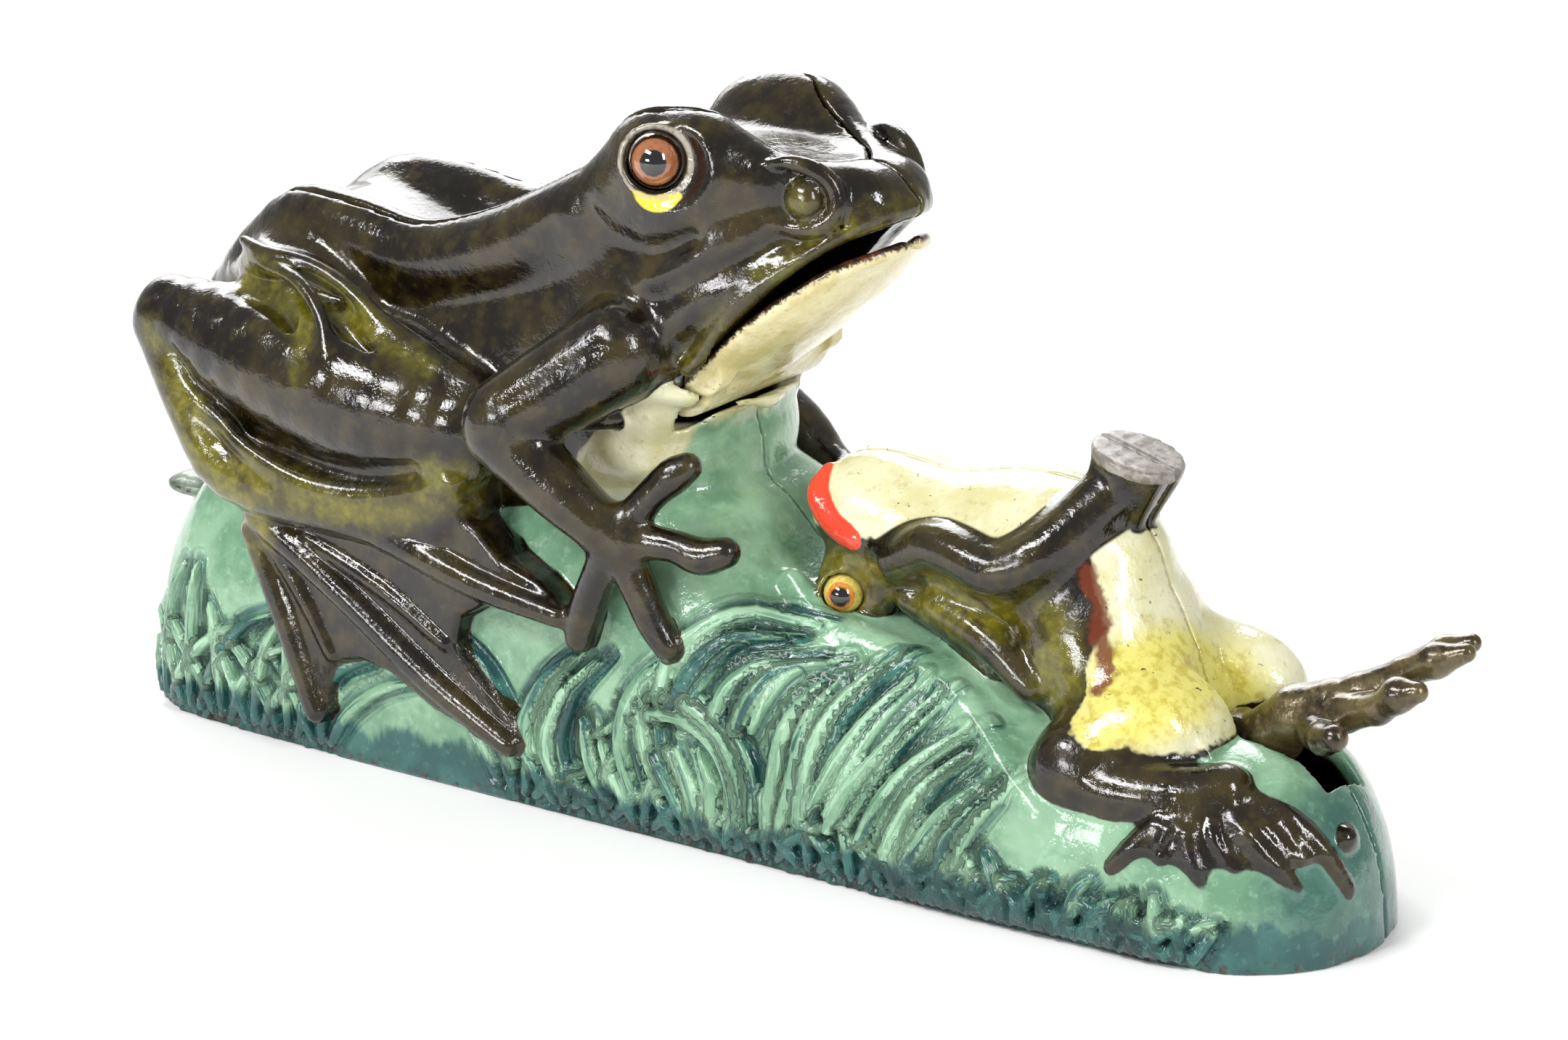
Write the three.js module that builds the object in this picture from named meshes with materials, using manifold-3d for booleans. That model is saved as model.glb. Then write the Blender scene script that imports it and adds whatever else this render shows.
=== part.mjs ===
// A cast-iron mechanical bank: a large frog sits on a grassy mound and a small frog lies on its back before
// it. Pressing the lever behind the mound swings the small frog's leg, which kicks a coin off the rest on its
// hands, and drops the large frog's lower jaw to receive it. Millimetres, +Z up, +X towards the small frog,
// origin on the ground under the middle of the bank. Each casting is a hollow half, parted on the plane of
// the frogs' noses, Y = 0.
import * as THREE from "three";
import { mergeVertices } from "three/addons/utils/BufferGeometryUtils.js";
import Module from "manifold-3d";

const wasm = await Module();
wasm.setup();

// ---- Driving dimensions ----
const WALL = 2.8; // thickness of the castings
const GAP = 0.3; // clearance between two castings that meet
const SIDES = [-1, 1]; // the frog's right side is -Y, its left side is +Y
const FAR = 300; // larger than the bank, for cutting solids

const PIN_R = 1.5; // pivot pins
const LINK_PIN_R = 1.2; // pins through the rods
const BORE_CLEARANCE = 0.3;
const SCREW_R = 1.5;
const SCREW_HEAD_R = 3.0;
const BOSS_R = 3.6;

const LEVER_PIVOT = { x: -75.2, z: 28 };
const LEVER_SWING = 16; // degrees
const LIFT_ARM = 41.1; // lever pivot to the lift rod's pin
const PUSH_ARM = 21.2; // lever pivot to the push rod's pin
const LEVER_TIP_X = -110.8;
const LEVER_TIP_Z = 26.8;

const JAW_PIVOT = { x: -5, z: 64 };
const JAW_SWING = 22;
const JAW_TAIL = 30; // jaw pivot to the lift rod's pin
const MOUTH_SLOPE = 38.6; // degrees the closed mouth rises towards the snout
const JAW_LENGTH = 37.8; // jaw pivot to the chin's tip, along the mouth
const JAW_HALF_WIDTH = 16.5;
const JAW_DEPTH = 7.6;
const JAW_WALL = 2.2;

const KICK_PIVOT = { x: 77, z: 24 };
const KICK_SWING = 70;
const KICK_TAIL = 5.15;

const EYE_BIG = { x: -6.4, y: 17.6, z: 95, r: 4.3 };
const EYE_SMALL = { x: 20.5, y: 11.6, z: 36.4, r: 3.1 };
const COIN_REST = { x: 60.4, z: 60.2, r: 6.5, thick: 1.6, tilt: 15.8 };

const PLATE_BOTTOM = 1.6; // the base plate sits inside the castings' foot
const PLATE_THICK = 1.8;
const TRAP = { x: -18, r: 15, tab: 3.5 };

const rad = THREE.MathUtils.degToRad;
const polar = (pivot, radius, degrees) => ({
  x: pivot.x + radius * Math.cos(rad(degrees)),
  z: pivot.z + radius * Math.sin(rad(degrees)),
});
const LIFT_PIN_LOW = polar(LEVER_PIVOT, LIFT_ARM, -LEVER_SWING / 2);
const LIFT_PIN_HIGH = polar(JAW_PIVOT, JAW_TAIL, 180 + JAW_SWING / 2);
const PUSH_PIN_REAR = polar(LEVER_PIVOT, PUSH_ARM, -90 - LEVER_SWING / 2);
const PUSH_PIN_FRONT = polar(KICK_PIVOT, KICK_TAIL, -90 - KICK_SWING / 2);

// ---- Solids ----
// The closed solid of a three.js geometry.
function solid(geometry) {
  const bare = new THREE.BufferGeometry().setAttribute("position", geometry.getAttribute("position"));
  if (geometry.index) bare.setIndex(geometry.index);
  const merged = mergeVertices(bare, 1e-4);
  const kept = [];
  for (let i = 0; i < merged.index.count; i += 3) {
    const [a, b, c] = [0, 1, 2].map((k) => merged.index.getX(i + k));
    if (a !== b && b !== c && c !== a) kept.push(a, b, c);
  }
  return new wasm.Manifold(
    new wasm.Mesh({
      numProp: 3,
      vertProperties: Float32Array.from(merged.attributes.position.array),
      triVerts: Uint32Array.from(kept),
    }),
  );
}

const union = (...parts) => wasm.Manifold.union(parts.flat());

// A geometry turned about X, then Y, then Z, in degrees, and moved.
function placed(geometry, x, y, z, turn = [0, 0, 0]) {
  const euler = new THREE.Euler(rad(turn[0]), rad(turn[1]), rad(turn[2]), "ZYX");
  const matrix = new THREE.Matrix4().makeRotationFromEuler(euler).setPosition(x, y, z);
  return solid(geometry.clone().applyMatrix4(matrix));
}

const box = (x, y, z, lx, ly, lz, turn) => placed(new THREE.BoxGeometry(lx, ly, lz), x, y, z, turn);

function ellipsoid(x, y, z, rx, ry, rz, turn) {
  const [around, down] = Math.max(rx, ry, rz) > 8 ? [11, 6] : [9, 5];
  return placed(new THREE.SphereGeometry(1, around, down).scale(rx, ry, rz), x, y, z, turn);
}

// A rod along Y from y0 to y1.
const rodY = (x, z, r, y0, y1, sides = 12) =>
  placed(new THREE.CylinderGeometry(r, r, y1 - y0, sides), x, (y0 + y1) / 2, z);

const rodZ = (x, y, r, z0, z1, sides = 12) =>
  placed(new THREE.CylinderGeometry(r, r, z1 - z0, sides), x, y, (z0 + z1) / 2, [90, 0, 0]);

// A limb between two points, with its own radius at each and a round far end.
function limb(a, b, ra, rb, sides = 7) {
  const from = new THREE.Vector3(...a);
  const along = new THREE.Vector3(...b).sub(from);
  const length = along.length();
  const profile = [
    new THREE.Vector2(0, -0.8 * ra),
    new THREE.Vector2(ra, 0),
    new THREE.Vector2(rb, length),
    new THREE.Vector2(0.7 * rb, length + 0.7 * rb),
    new THREE.Vector2(0, length + rb),
  ];
  const turn = new THREE.Quaternion().setFromUnitVectors(new THREE.Vector3(0, 1, 0), along.normalize());
  const geometry = new THREE.LatheGeometry(profile, sides).applyQuaternion(turn);
  return solid(geometry.translate(from.x, from.y, from.z));
}

// Limbs through a list of [x, y, z, radius].
const chain = (points, sides) =>
  points.slice(1).map((p, i) => limb(points[i].slice(0, 3), p.slice(0, 3), points[i][3], p[3], sides));

// A body skinned over rings of [y, z] points, one ring at each x.
function loft(xs, rings) {
  const n = rings[0].length;
  const positions = [];
  const index = [];
  rings.forEach((ring, i) => ring.forEach(([y, z]) => positions.push(xs[i], y, z)));
  for (let i = 0; i < rings.length - 1; i++)
    for (let j = 0; j < n; j++) {
      const [a, b] = [i * n + j, i * n + ((j + 1) % n)];
      index.push(a, b, a + n, b, b + n, a + n);
    }
  [0, rings.length - 1].forEach((i) => {
    const middle = [0, 1].map((k) => rings[i].reduce((sum, p) => sum + p[k], 0) / n);
    const centre = positions.push(xs[i], ...middle) / 3 - 1;
    for (let j = 0; j < n; j++) {
      const [a, b] = [i * n + j, i * n + ((j + 1) % n)];
      index.push(...(i ? [a, b, centre] : [b, a, centre]));
    }
  });
  const geometry = new THREE.BufferGeometry();
  geometry.setAttribute("position", new THREE.Float32BufferAttribute(positions, 3));
  return solid(geometry.setIndex(index));
}

const power = (value, exponent) => Math.sign(value) * Math.abs(value) ** exponent;

// An outline in the XZ plane, y0 to y1 thick.
function slabY(points, y0, y1) {
  const shape = new THREE.Shape(points.map(([x, z]) => new THREE.Vector2(x, z)));
  const geometry = new THREE.ExtrudeGeometry(shape, { depth: y1 - y0, bevelEnabled: false });
  return solid(geometry.rotateX(Math.PI / 2).translate(0, y1, 0));
}

// An outline in the XY plane, z0 to z1 thick.
function slabZ(points, z0, z1) {
  const shape = new THREE.Shape(points.map(([x, y]) => new THREE.Vector2(x, y)));
  const geometry = new THREE.ExtrudeGeometry(shape, { depth: z1 - z0, bevelEnabled: false });
  return solid(geometry.translate(0, 0, z0));
}

// A flat bar with round ends in the XZ plane, between two pins.
const bar = (a, b, r, y0, y1, width = 1.6 * r) =>
  union(
    rodY(a.x, a.z, r, y0, y1),
    rodY(b.x, b.z, r, y0, y1),
    box(
      (a.x + b.x) / 2,
      (y0 + y1) / 2,
      (a.z + b.z) / 2,
      Math.hypot(b.x - a.x, b.z - a.z),
      y1 - y0,
      width,
      [0, -THREE.MathUtils.radToDeg(Math.atan2(b.z - a.z, b.x - a.x)), 0],
    ),
  );

const mirrored = (make) => SIDES.map((side) => make(side));

// ---- The mound ----
// x, half width at the ground, height on the centreline, squareness of the section
const MOUND = [
  [-100, 15.5, 7, 2.8],
  [-98.5, 18, 21, 2.8],
  [-95.5, 21, 33, 2.8],
  [-88, 24, 39, 3],
  [-60, 25.3, 43, 3.2],
  [-30, 25.4, 45, 3.2],
  [-10, 25.6, 50, 3.2],
  [2, 25.6, 46, 3.2],
  [12, 25.7, 38, 3.2],
  [24, 25.8, 34.5, 3.2],
  [42, 26, 32.5, 3],
  [56, 25.8, 27, 3],
  [76, 24.6, 26.5, 2.8],
  [88, 20.6, 25, 2.4],
  [94, 16, 20.5, 2.2],
  [98.4, 10, 13, 2.1],
  [100.8, 3.6, 6, 2],
];
const drift = (x) => Math.min(0, (70 - x) / 8); // the front end leans to the right

// The mound's skin, inset all over by a wall.
function mound(inset) {
  const steps = inset ? 7 : 10;
  const rings = MOUND.map(([x, width, height, squareness]) => {
    const ring = [];
    for (let i = 0; i <= steps; i++) {
      const t = (i / steps) * Math.PI;
      const y = drift(x) + Math.max(width - inset, 1) * power(Math.cos(t), 2 / squareness);
      const z = Math.max(height - inset, 1) * power(Math.sin(t), 2 / squareness);
      ring.push([y, z]);
    }
    ring[0][1] = inset ? -1 : 0;
    ring[steps][1] = inset ? -1 : 0;
    return ring;
  });
  return loft(MOUND.map(([x]) => x * (1 - inset / 100)), rings);
}

// ---- The large frog ----
// x, top, bottom, half width
const TRUNK = [
  [-94, 60, 52, 5],
  [-90, 66.5, 44, 12],
  [-83, 74, 38, 17],
  [-70, 78.5, 34, 19.5],
  [-50, 74.5, 32, 20],
  [-36, 77, 32, 19.5],
  [-24, 85, 34, 19],
  [-16, 92.5, 42, 19],
  [-8, 95.5, 52, 18.8],
  [0, 96.2, 60, 17.2],
  [8, 95.6, 66, 13.8],
  [16, 94.4, 72, 9.4],
  [21, 91.8, 76, 6.2],
  [25, 88.6, 82, 2.2],
];

function trunk(inset) {
  const squareness = 2.5;
  const steps = inset ? 8 : 16;
  const rings = TRUNK.map(([, top, bottom, width]) => {
    const [middle, half] = [(top + bottom) / 2, (top - bottom) / 2 - inset];
    return Array.from({ length: steps }, (_, i) => {
      const t = (i / steps) * 2 * Math.PI;
      return [
        Math.max(width - inset, 0.5) * power(Math.cos(t), 2 / squareness),
        middle + Math.max(half, 0.5) * power(Math.sin(t), 2 / squareness),
      ];
    });
  });
  const middle = -34;
  const xs = TRUNK.map(([x]) => middle + (x - middle) * (1 - inset / 60));
  return loft(xs, rings);
}

// Everything in front of the mouth's corner and under the upper lip.
function mouthCut() {
  const reach = 60;
  const [cos, sin] = [Math.cos(rad(MOUTH_SLOPE)), Math.sin(rad(MOUTH_SLOPE))];
  const lip = { x: -2.5, z: 66.4 };
  const down = reach / 2;
  return box(lip.x + (reach / 2) * cos + down * sin, 0, lip.z + (reach / 2) * sin - down * cos,
    reach, FAR, reach, [0, -MOUTH_SLOPE, 0]);
}

// The left arm is bent lower than the right one.
function arm(side) {
  const drop = side > 0 ? 5 : 0;
  const palm = [-6.8, 26.8 * side, 43.4 - drop];
  const wrist = [-9.4, 27.8 * side, 45.4 - drop];
  return [
    limb([-11, 20 * side, 68], [-23.5, 29 * side, 58.5 - drop], 7.5, 6),
    limb([-24.5, 29.5 * side, 56.5 - 1.6 * drop], wrist, 5.2, 3.6),
    ellipsoid(...palm, 4.6, 3.2, 4.2),
    limb(palm, [1.2, 22.4 * side, 53.4 - 2.5 * drop], 2.4, 2.3, 6),
    limb(palm, [9.8, 23.6 * side, 43.4], 2.4, 2.2, 6),
    limb(palm, [1, 25.2 * side, 29.4], 2.4, 2.1, 6),
    limb(palm, [-13.6, 26 * side, 27.4], 2.4, 2.2, 6),
  ];
}

function hindLeg(side) {
  const foot = [[-73, 41], [-64, 43], [-40, 36], [-14, 31.5], [-13, 28], [-31, 28], [-38, 24], [-32, 16],
    [-24, 8.5], [-28, 7], [-47, 20], [-56, 19], [-59.5, 6], [-63.5, 5.5], [-68, 24]];
  return [
    limb([-88.5, 24.5 * side, 62.5], [-56, 22.5 * side, 56], 5.5, 11),
    limb([-56, 22.5 * side, 56], [-38, 20.5 * side, 53], 11, 8.5),
    ellipsoid(-66, 17 * side, 66, 14, 7.5, 10, [0, 25, 0]),
    limb([-89.5, 25.5 * side, 60.5], [-71.5, 29.5 * side, 39], 4.4, 4.2),
    limb([-72, 27.5 * side, 44], [-36, 22 * side, 41.5], 4.5, 5.2),
    side < 0 ? slabY(foot, -30.2, -25.6) : slabY(foot, 25.6, 30.2),
  ];
}

const eyeBump = (side) => ellipsoid(-8.2, 14.4 * side, 94.6, 8.4, 6.2, 7.8);
const cheek = (side) => ellipsoid(-6.5, 15.6 * side, 65.6, 5.6, 3.6, 4.8);
const nostril = (side) => ellipsoid(12.5, 8.2 * side, 90.2, 3.6, 2.6, 3.2);

// ---- The small frog ----
function smallFrog(inset) {
  return [
    ellipsoid(27, 0, 44.5, 16.5 - inset, 12.5 - inset, 9.2 - inset, [0, 3, 0]),
    ellipsoid(45, 0, 44, 20 - inset, 13.6 - inset, 12 - inset, [0, -4, 0]),
    ellipsoid(57.4, 0, 33.5, 12.4 - inset, 14.6 - inset, 15.5 - inset, [0, -22, 0]),
  ];
}

function smallFrogLimbs() {
  const seat = { x: COIN_REST.x, z: COIN_REST.z };
  const lean = rad(COIN_REST.tilt);
  const restBase = { x: seat.x - 6.5 * Math.sin(lean), z: seat.z - 6.5 * Math.cos(lean) };
  const flare = new THREE.CylinderGeometry(COIN_REST.r - 0.5, 3.6, 8, 12);
  return [
    ...mirrored((side) => [
      limb([30, 11 * side, 43.6], [46.5, 12.5 * side, 43], 3.6, 3.8),
      limb([46.5, 12.5 * side, 43.6], [57.5, 4 * side, 53.5], 3.8, 3.6),
    ]).flat(),
    placed(flare, restBase.x + 0.8, 0, restBase.z + 1.6, [90, COIN_REST.tilt, 0]),
    placed(new THREE.CylinderGeometry(COIN_REST.r, COIN_REST.r, COIN_REST.thick, 18),
      seat.x, 0, seat.z, [90, COIN_REST.tilt, 0]),
    // the right leg is folded, with its foot spread on the mound
    limb([72, -9.5, 27.5], [62.5, -17, 22.5], 7, 6.2),
    limb([62, -18, 20.5], [83, -14.5, 22.5], 4.6, 4.2),
    ...[[72.6, -22.4, 12.4], [87, -20.2, 12], [96, -13.5, 12.5], [100.2, -8, 8]].map((tip) =>
      limb([83.5, -14, 22], tip, 2.8, 1.9, 6)),
    // the left thigh stands up beside the leg that kicks
    ellipsoid(74.8, 12.6, 27.4, 8.2, 6.2, 8, [0, 20, 0]),
    limb([60, 14, 25], [73, 13, 23.5], 7.5, 7),
  ];
}

// ---- Castings ----
// The outline of the cover on the frog's back and head, seen from above: x, half width.
const COVER = [
  [-87, 3.5],
  [-83, 8.5],
  [-76, 12],
  [-66, 13.5],
  [-46, 13.5],
  [-22, 13.5],
  [-8, 14.2],
  [-1.5, 12.6],
  [1.5, 10.2],
  [8, 8],
  [13, 5],
  [16.6, 0.6],
];
const COVER_FLOOR = 70;

function coverPrism(grow) {
  const last = COVER.length - 1;
  const right = COVER.map(([x, width], i) => [x + (i === last ? grow : 0) - (i ? 0 : grow), -width - grow]);
  const left = right.map(([x, y]) => [x, -y]).reverse();
  return slabZ([...right, ...left], COVER_FLOOR - grow, FAR);
}

const backRidge = (side) =>
  chain([[-70, 12.4 * side, 77.6, 3.2], [-47, 12.4 * side, 74.4, 3], [-24, 12.6 * side, 86, 3]], 6);

function outerBody() {
  const chest = ellipsoid(-15.5, 0, 49.5, 16.5, 16.5, 17.5);
  const head = union(
    trunk(0),
    mirrored(eyeBump),
    mirrored(cheek),
    mirrored(nostril),
    mirrored(backRidge).flat(),
  ).subtract(mouthCut());
  const limbs = [mirrored(arm), mirrored(hindLeg)].flat(2);
  return union(head, chest, mound(0), limbs, smallFrog(0), smallFrogLimbs());
}

function innerBody() {
  return union(
    trunk(WALL).subtract(box(30, 0, 60, 12, FAR, FAR)),
    box(-41, 0, 44, 54, 30, 28),
    ellipsoid(-15.5, 0, 49.5, 16.5 - WALL, 16.5 - WALL, 17.5),
    mound(WALL),
    smallFrog(WALL),
  );
}

// The lower jaw: half of an egg, hollow like a spoon, with two ears on the pivot and a tail in the throat.
// In the mouth's frame, x runs from the pivot along the closed mouth and z out of it. Each shape can be
// opened by an angle.
const LIP_GAP = 2.6; // the closed mouth stands open by a slit
const JAW_RIM = -2; // under the plane through the pivot
const EAR_OUTER = JAW_HALF_WIDTH - 1.6;

function inMouth(x, z, open = 0) {
  const slope = rad(MOUTH_SLOPE - open);
  return {
    x: JAW_PIVOT.x + x * Math.cos(slope) - z * Math.sin(slope),
    z: JAW_PIVOT.z + x * Math.sin(slope) + z * Math.cos(slope),
  };
}

function mouthBox(x0, x1, z0, z1, width, open = 0) {
  const centre = inMouth((x0 + x1) / 2, (z0 + z1) / 2, open);
  return box(centre.x, 0, centre.z, x1 - x0, width, z1 - z0, [0, open - MOUTH_SLOPE, 0]);
}

function jawBowl(grow, top, open = 0) {
  const radii = [JAW_LENGTH, JAW_HALF_WIDTH, JAW_DEPTH].map((r) => r + grow);
  const egg = new THREE.SphereGeometry(1, 14, 8).scale(...radii);
  return placed(egg, JAW_PIVOT.x, 0, JAW_PIVOT.z, [0, open - MOUTH_SLOPE, 0])
    .subtract(mouthBox(-60, 60, top, 40, FAR, open))
    .subtract(mouthBox(-60, 1 - grow, -40, 40, FAR, open));
}

function lowerJaw() {
  const ears = mirrored((side) => {
    const [outer, inner] = [side * EAR_OUTER, side * (EAR_OUTER - 3)];
    return bar(JAW_PIVOT, inMouth(4.5, -4.2), 2.9, Math.min(outer, inner), Math.max(outer, inner));
  });
  const throatBend = { x: -11, z: 58.6 };
  const tail = [
    bar(inMouth(4, 1.8 - JAW_DEPTH), throatBend, 1.8, -2, 2),
    bar(throatBend, LIFT_PIN_HIGH, 2.2, -2, 2),
  ];
  return jawBowl(0, JAW_RIM)
    .subtract(jawBowl(-JAW_WALL, 40))
    .add(union(ears, tail))
    .subtract(rodY(JAW_PIVOT.x, JAW_PIVOT.z, PIN_R + BORE_CLEARANCE, -FAR, FAR))
    .subtract(rodY(LIFT_PIN_HIGH.x, LIFT_PIN_HIGH.z, LINK_PIN_R + BORE_CLEARANCE, -FAR, FAR));
}

const EYE_SUNK = 0.8; // the glasses sit this deep in their sockets
const eyeGlass = ({ x, y, z, r }, side) => ellipsoid(x, (y - EYE_SUNK) * side, z, r, r, r);

function eyeSocket({ x, y, z, r }, side) {
  const room = r + GAP + 0.2;
  return ellipsoid(x, (y - EYE_SUNK) * side, z, room, room + 0.4, room);
}

// The room that the jaw swings through.
function jawRoom() {
  const steps = 3;
  return Array.from({ length: steps + 1 }, (_, i) => {
    const open = (JAW_SWING * i) / steps;
    return jawBowl(1.2, LIP_GAP - 0.6, open).add(mouthBox(-4.8, 6, -7, 4.6, 2 * EAR_OUTER + 1.4, open));
  });
}

const SCREWS = {
  front_screw: { x: 86, z: 10, head: 18.4 },
  middle_screw: { x: 20, z: 24, head: 22 },
  rear_screw: { x: -91, z: 10, head: 21.6 },
  back_screw: { x: -60, z: 65, head: 23 },
};
const SCREW_TIP = -15;
const HEAD_THICK = 1.6;

const PLATE_SCREWS = {
  plate_screw_front: { x: 60, y: -17.5 },
  plate_screw_rear: { x: -62, y: 17.5 },
};

function bosses() {
  const screwBosses = Object.values(SCREWS).map(({ x, z, head }) =>
    rodY(x, z, BOSS_R, SCREW_TIP - 2.6, head));
  const leverBoss = rodY(LEVER_PIVOT.x, LEVER_PIVOT.z, 4, -23, 23).subtract(
    rodY(LEVER_PIVOT.x, LEVER_PIVOT.z, 6, -3, 3));
  const kickBoss = rodY(KICK_PIVOT.x, KICK_PIVOT.z, 4, -13, 13).subtract(
    rodY(KICK_PIVOT.x, KICK_PIVOT.z, 6, -6.2, 3.4));
  const plateBosses = Object.values(PLATE_SCREWS).map(({ x, y }) => {
    const post = rodZ(x, y, 3.2, PLATE_BOTTOM + PLATE_THICK + GAP, 15);
    return post.add(box(x, y + 3 * Math.sign(y), 9.4, 6.4, 6, 10));
  });
  const springPost = box(34, -13.8, 8.6, 3, 16.4, 8);
  return { screwBosses, leverBoss, kickBoss, plateBosses, springPost };
}

function castings() {
  const { screwBosses, leverBoss, kickBoss, plateBosses, springPost } = bosses();
  const legWell = box(78, -0.9, 20, 22, 9.4, 26);
  const slotOutline = [[76, 20], [81, 14], [93, 14], [93, 60], [70.5, 60], [71, 34]];
  const legSlot = slabY(slotOutline, -4.6, 4.6);
  const shell = outerBody().subtract(innerBody());
  const coverBlank = shell.intersect(coverPrism(0));
  const body = union(shell, screwBosses, leverBoss)
    .subtract(coverPrism(GAP))
    .subtract(legWell)
    .add(kickBoss.intersect(smallFrog(0).reduce((a, b) => a.add(b))))
    .add(union(plateBosses, springPost).intersect(mound(0.5)))
    .subtract(legSlot)
    .subtract(union(jawRoom()))
    .subtract(leverWell())
    .subtract(union(holes()))
    .subtract(box(0, 0, -FAR / 2, FAR, FAR, FAR)); // the rims stand on the ground
  const lug = rodY(SCREWS.back_screw.x, SCREWS.back_screw.z, BOSS_R, -4, 4)
    .add(box(SCREWS.back_screw.x, 0, SCREWS.back_screw.z + 5, 5, 8, 10))
    .subtract(rodY(SCREWS.back_screw.x, SCREWS.back_screw.z, SCREW_R + BORE_CLEARANCE, -FAR, FAR));
  const rodRoom = box(LIFT_PIN_HIGH.x, 4.1, 71, 9, 3.4, 6.6);
  const jawCorners = box(5, 0, 70, 24, FAR, 14); // the cover ends above the corners of the mouth
  const cover = coverBlank.subtract(rodRoom).subtract(jawCorners).add(lug.intersect(outerBody()));
  return { body, cover };
}

// Room for the lever where it leaves the mound.
const leverWell = () => box(-99, 0, 22.5, 14, 5.6, 19);

function holes() {
  const screwHoles = Object.values(SCREWS).map(({ x, z, head }) => [
    rodY(x, z, SCREW_R + BORE_CLEARANCE, SCREW_TIP - GAP, FAR),
    rodY(x, z, SCREW_HEAD_R + BORE_CLEARANCE, head - HEAD_THICK - GAP, FAR),
  ]);
  const lugRoom = box(SCREWS.back_screw.x, 0, SCREWS.back_screw.z + 4, 2 * BOSS_R + 1.4, 8.8, 17);
  const plateHoles = Object.values(PLATE_SCREWS).map(({ x, y }) => rodZ(x, y, 1.2 + BORE_CLEARANCE, 0, 12));
  return [
    ...screwHoles.flat(),
    lugRoom,
    ...plateHoles,
    rodY(LEVER_PIVOT.x, LEVER_PIVOT.z, PIN_R + BORE_CLEARANCE, -7.3, 7.3),
    rodY(JAW_PIVOT.x, JAW_PIVOT.z, PIN_R + BORE_CLEARANCE, -17.3, 17.3),
    rodY(KICK_PIVOT.x, KICK_PIVOT.z, PIN_R + BORE_CLEARANCE, -9.3, 8.3),
  ];
}

const half = (body, side) => body.intersect(box(0, side * (FAR / 2 + GAP / 2), 0, FAR, FAR, FAR));

// ---- Base plate and coin trap ----
function basePlate() {
  const top = PLATE_BOTTOM + PLATE_THICK;
  const screwHoles = Object.values(PLATE_SCREWS).map(({ x, y }) =>
    rodZ(x, y, 1.2 + BORE_CLEARANCE, 0, top + 1));
  return mound(WALL + 0.9)
    .intersect(box(0, 0, PLATE_BOTTOM + PLATE_THICK / 2, FAR, FAR, PLATE_THICK))
    .subtract(rodZ(TRAP.x, 0, TRAP.r + GAP, 0, top + 1, 32))
    .subtract(box(TRAP.x, 0, top, 7, 2 * (TRAP.r + TRAP.tab) + 1, 8))
    .subtract(union(screwHoles));
}

function trapCover() {
  const top = PLATE_BOTTOM + PLATE_THICK;
  const grip = box(TRAP.x, 0, PLATE_BOTTOM - 0.1, 2.4, 18, 1.8);
  return rodZ(TRAP.x, 0, TRAP.r, PLATE_BOTTOM, top + 1.4, 32)
    .subtract(rodZ(TRAP.x, 0, 11, PLATE_BOTTOM - 2, PLATE_BOTTOM + 0.8, 32))
    .add(grip.intersect(rodZ(TRAP.x, 0, 9.4, 0.6, 5, 24)))
    .add(box(TRAP.x, 0, top + GAP + 0.55, 2 * (TRAP.r + TRAP.tab) - 1, 5.5, 1.1));
}

function screwY({ x, z, head }) {
  const slot = box(x, head + 0.4, z, 2 * SCREW_HEAD_R + 1, 0.8, 0.9, [0, 35, 0]);
  return rodY(x, z, SCREW_R, SCREW_TIP, head - 0.1)
    .add(rodY(x, z, SCREW_HEAD_R, head - HEAD_THICK, head + 0.5, 18))
    .subtract(slot);
}

function plateScrew({ x, y }) {
  const slot = box(x, y, 0.4, 6, 0.7, 0.8, [0, 0, 40]);
  const head = rodZ(x, y, 2.4, 0.4, PLATE_BOTTOM - GAP, 16).subtract(slot);
  return rodZ(x, y, 1.2, 0.8, 11.5, 12).add(head);
}

// ---- Mechanism ----
function lever() {
  const reach = 1.6;
  const outer = slabY(
    [[-73, 24.6], [-73, 30.6], [-96, 28.4], [-103, 28], [-108, 28.6], [LEVER_TIP_X, LEVER_TIP_Z],
      [-108, 25.2], [-101, 24.6]],
    -reach, reach);
  const thumb = placed(new THREE.SphereGeometry(1, 10, 6).scale(5.2, 4.4, 1.5), LEVER_TIP_X + 5.2, 0, 26.9);
  return union(
    outer,
    thumb,
    rodY(LEVER_PIVOT.x, LEVER_PIVOT.z, 4.4, -reach, reach),
    bar(LEVER_PIVOT, LIFT_PIN_LOW, 2.8, -reach, reach),
    bar(LEVER_PIVOT, PUSH_PIN_REAR, 2.6, -reach, reach),
  )
    .subtract(rodY(LEVER_PIVOT.x, LEVER_PIVOT.z, PIN_R + BORE_CLEARANCE, -9, 9))
    .subtract(rodY(LIFT_PIN_LOW.x, LIFT_PIN_LOW.z, LINK_PIN_R + BORE_CLEARANCE, -9, 9))
    .subtract(rodY(PUSH_PIN_REAR.x, PUSH_PIN_REAR.z, LINK_PIN_R + BORE_CLEARANCE, -9, 9));
}

const LIFT_SIDE = [3.2, 5];
const PUSH_SIDE = [-5.2, -3.4];
const LINK_PLAY = 0.9; // the rods' eyes are wide, because the pins move on arcs

const liftRod = () =>
  bar(LIFT_PIN_LOW, LIFT_PIN_HIGH, 3.4, ...LIFT_SIDE)
    .subtract(rodY(LIFT_PIN_LOW.x, LIFT_PIN_LOW.z, LINK_PIN_R + LINK_PLAY, -9, 9))
    .subtract(rodY(LIFT_PIN_HIGH.x, LIFT_PIN_HIGH.z, LINK_PIN_R + LINK_PLAY, -9, 9));

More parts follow.
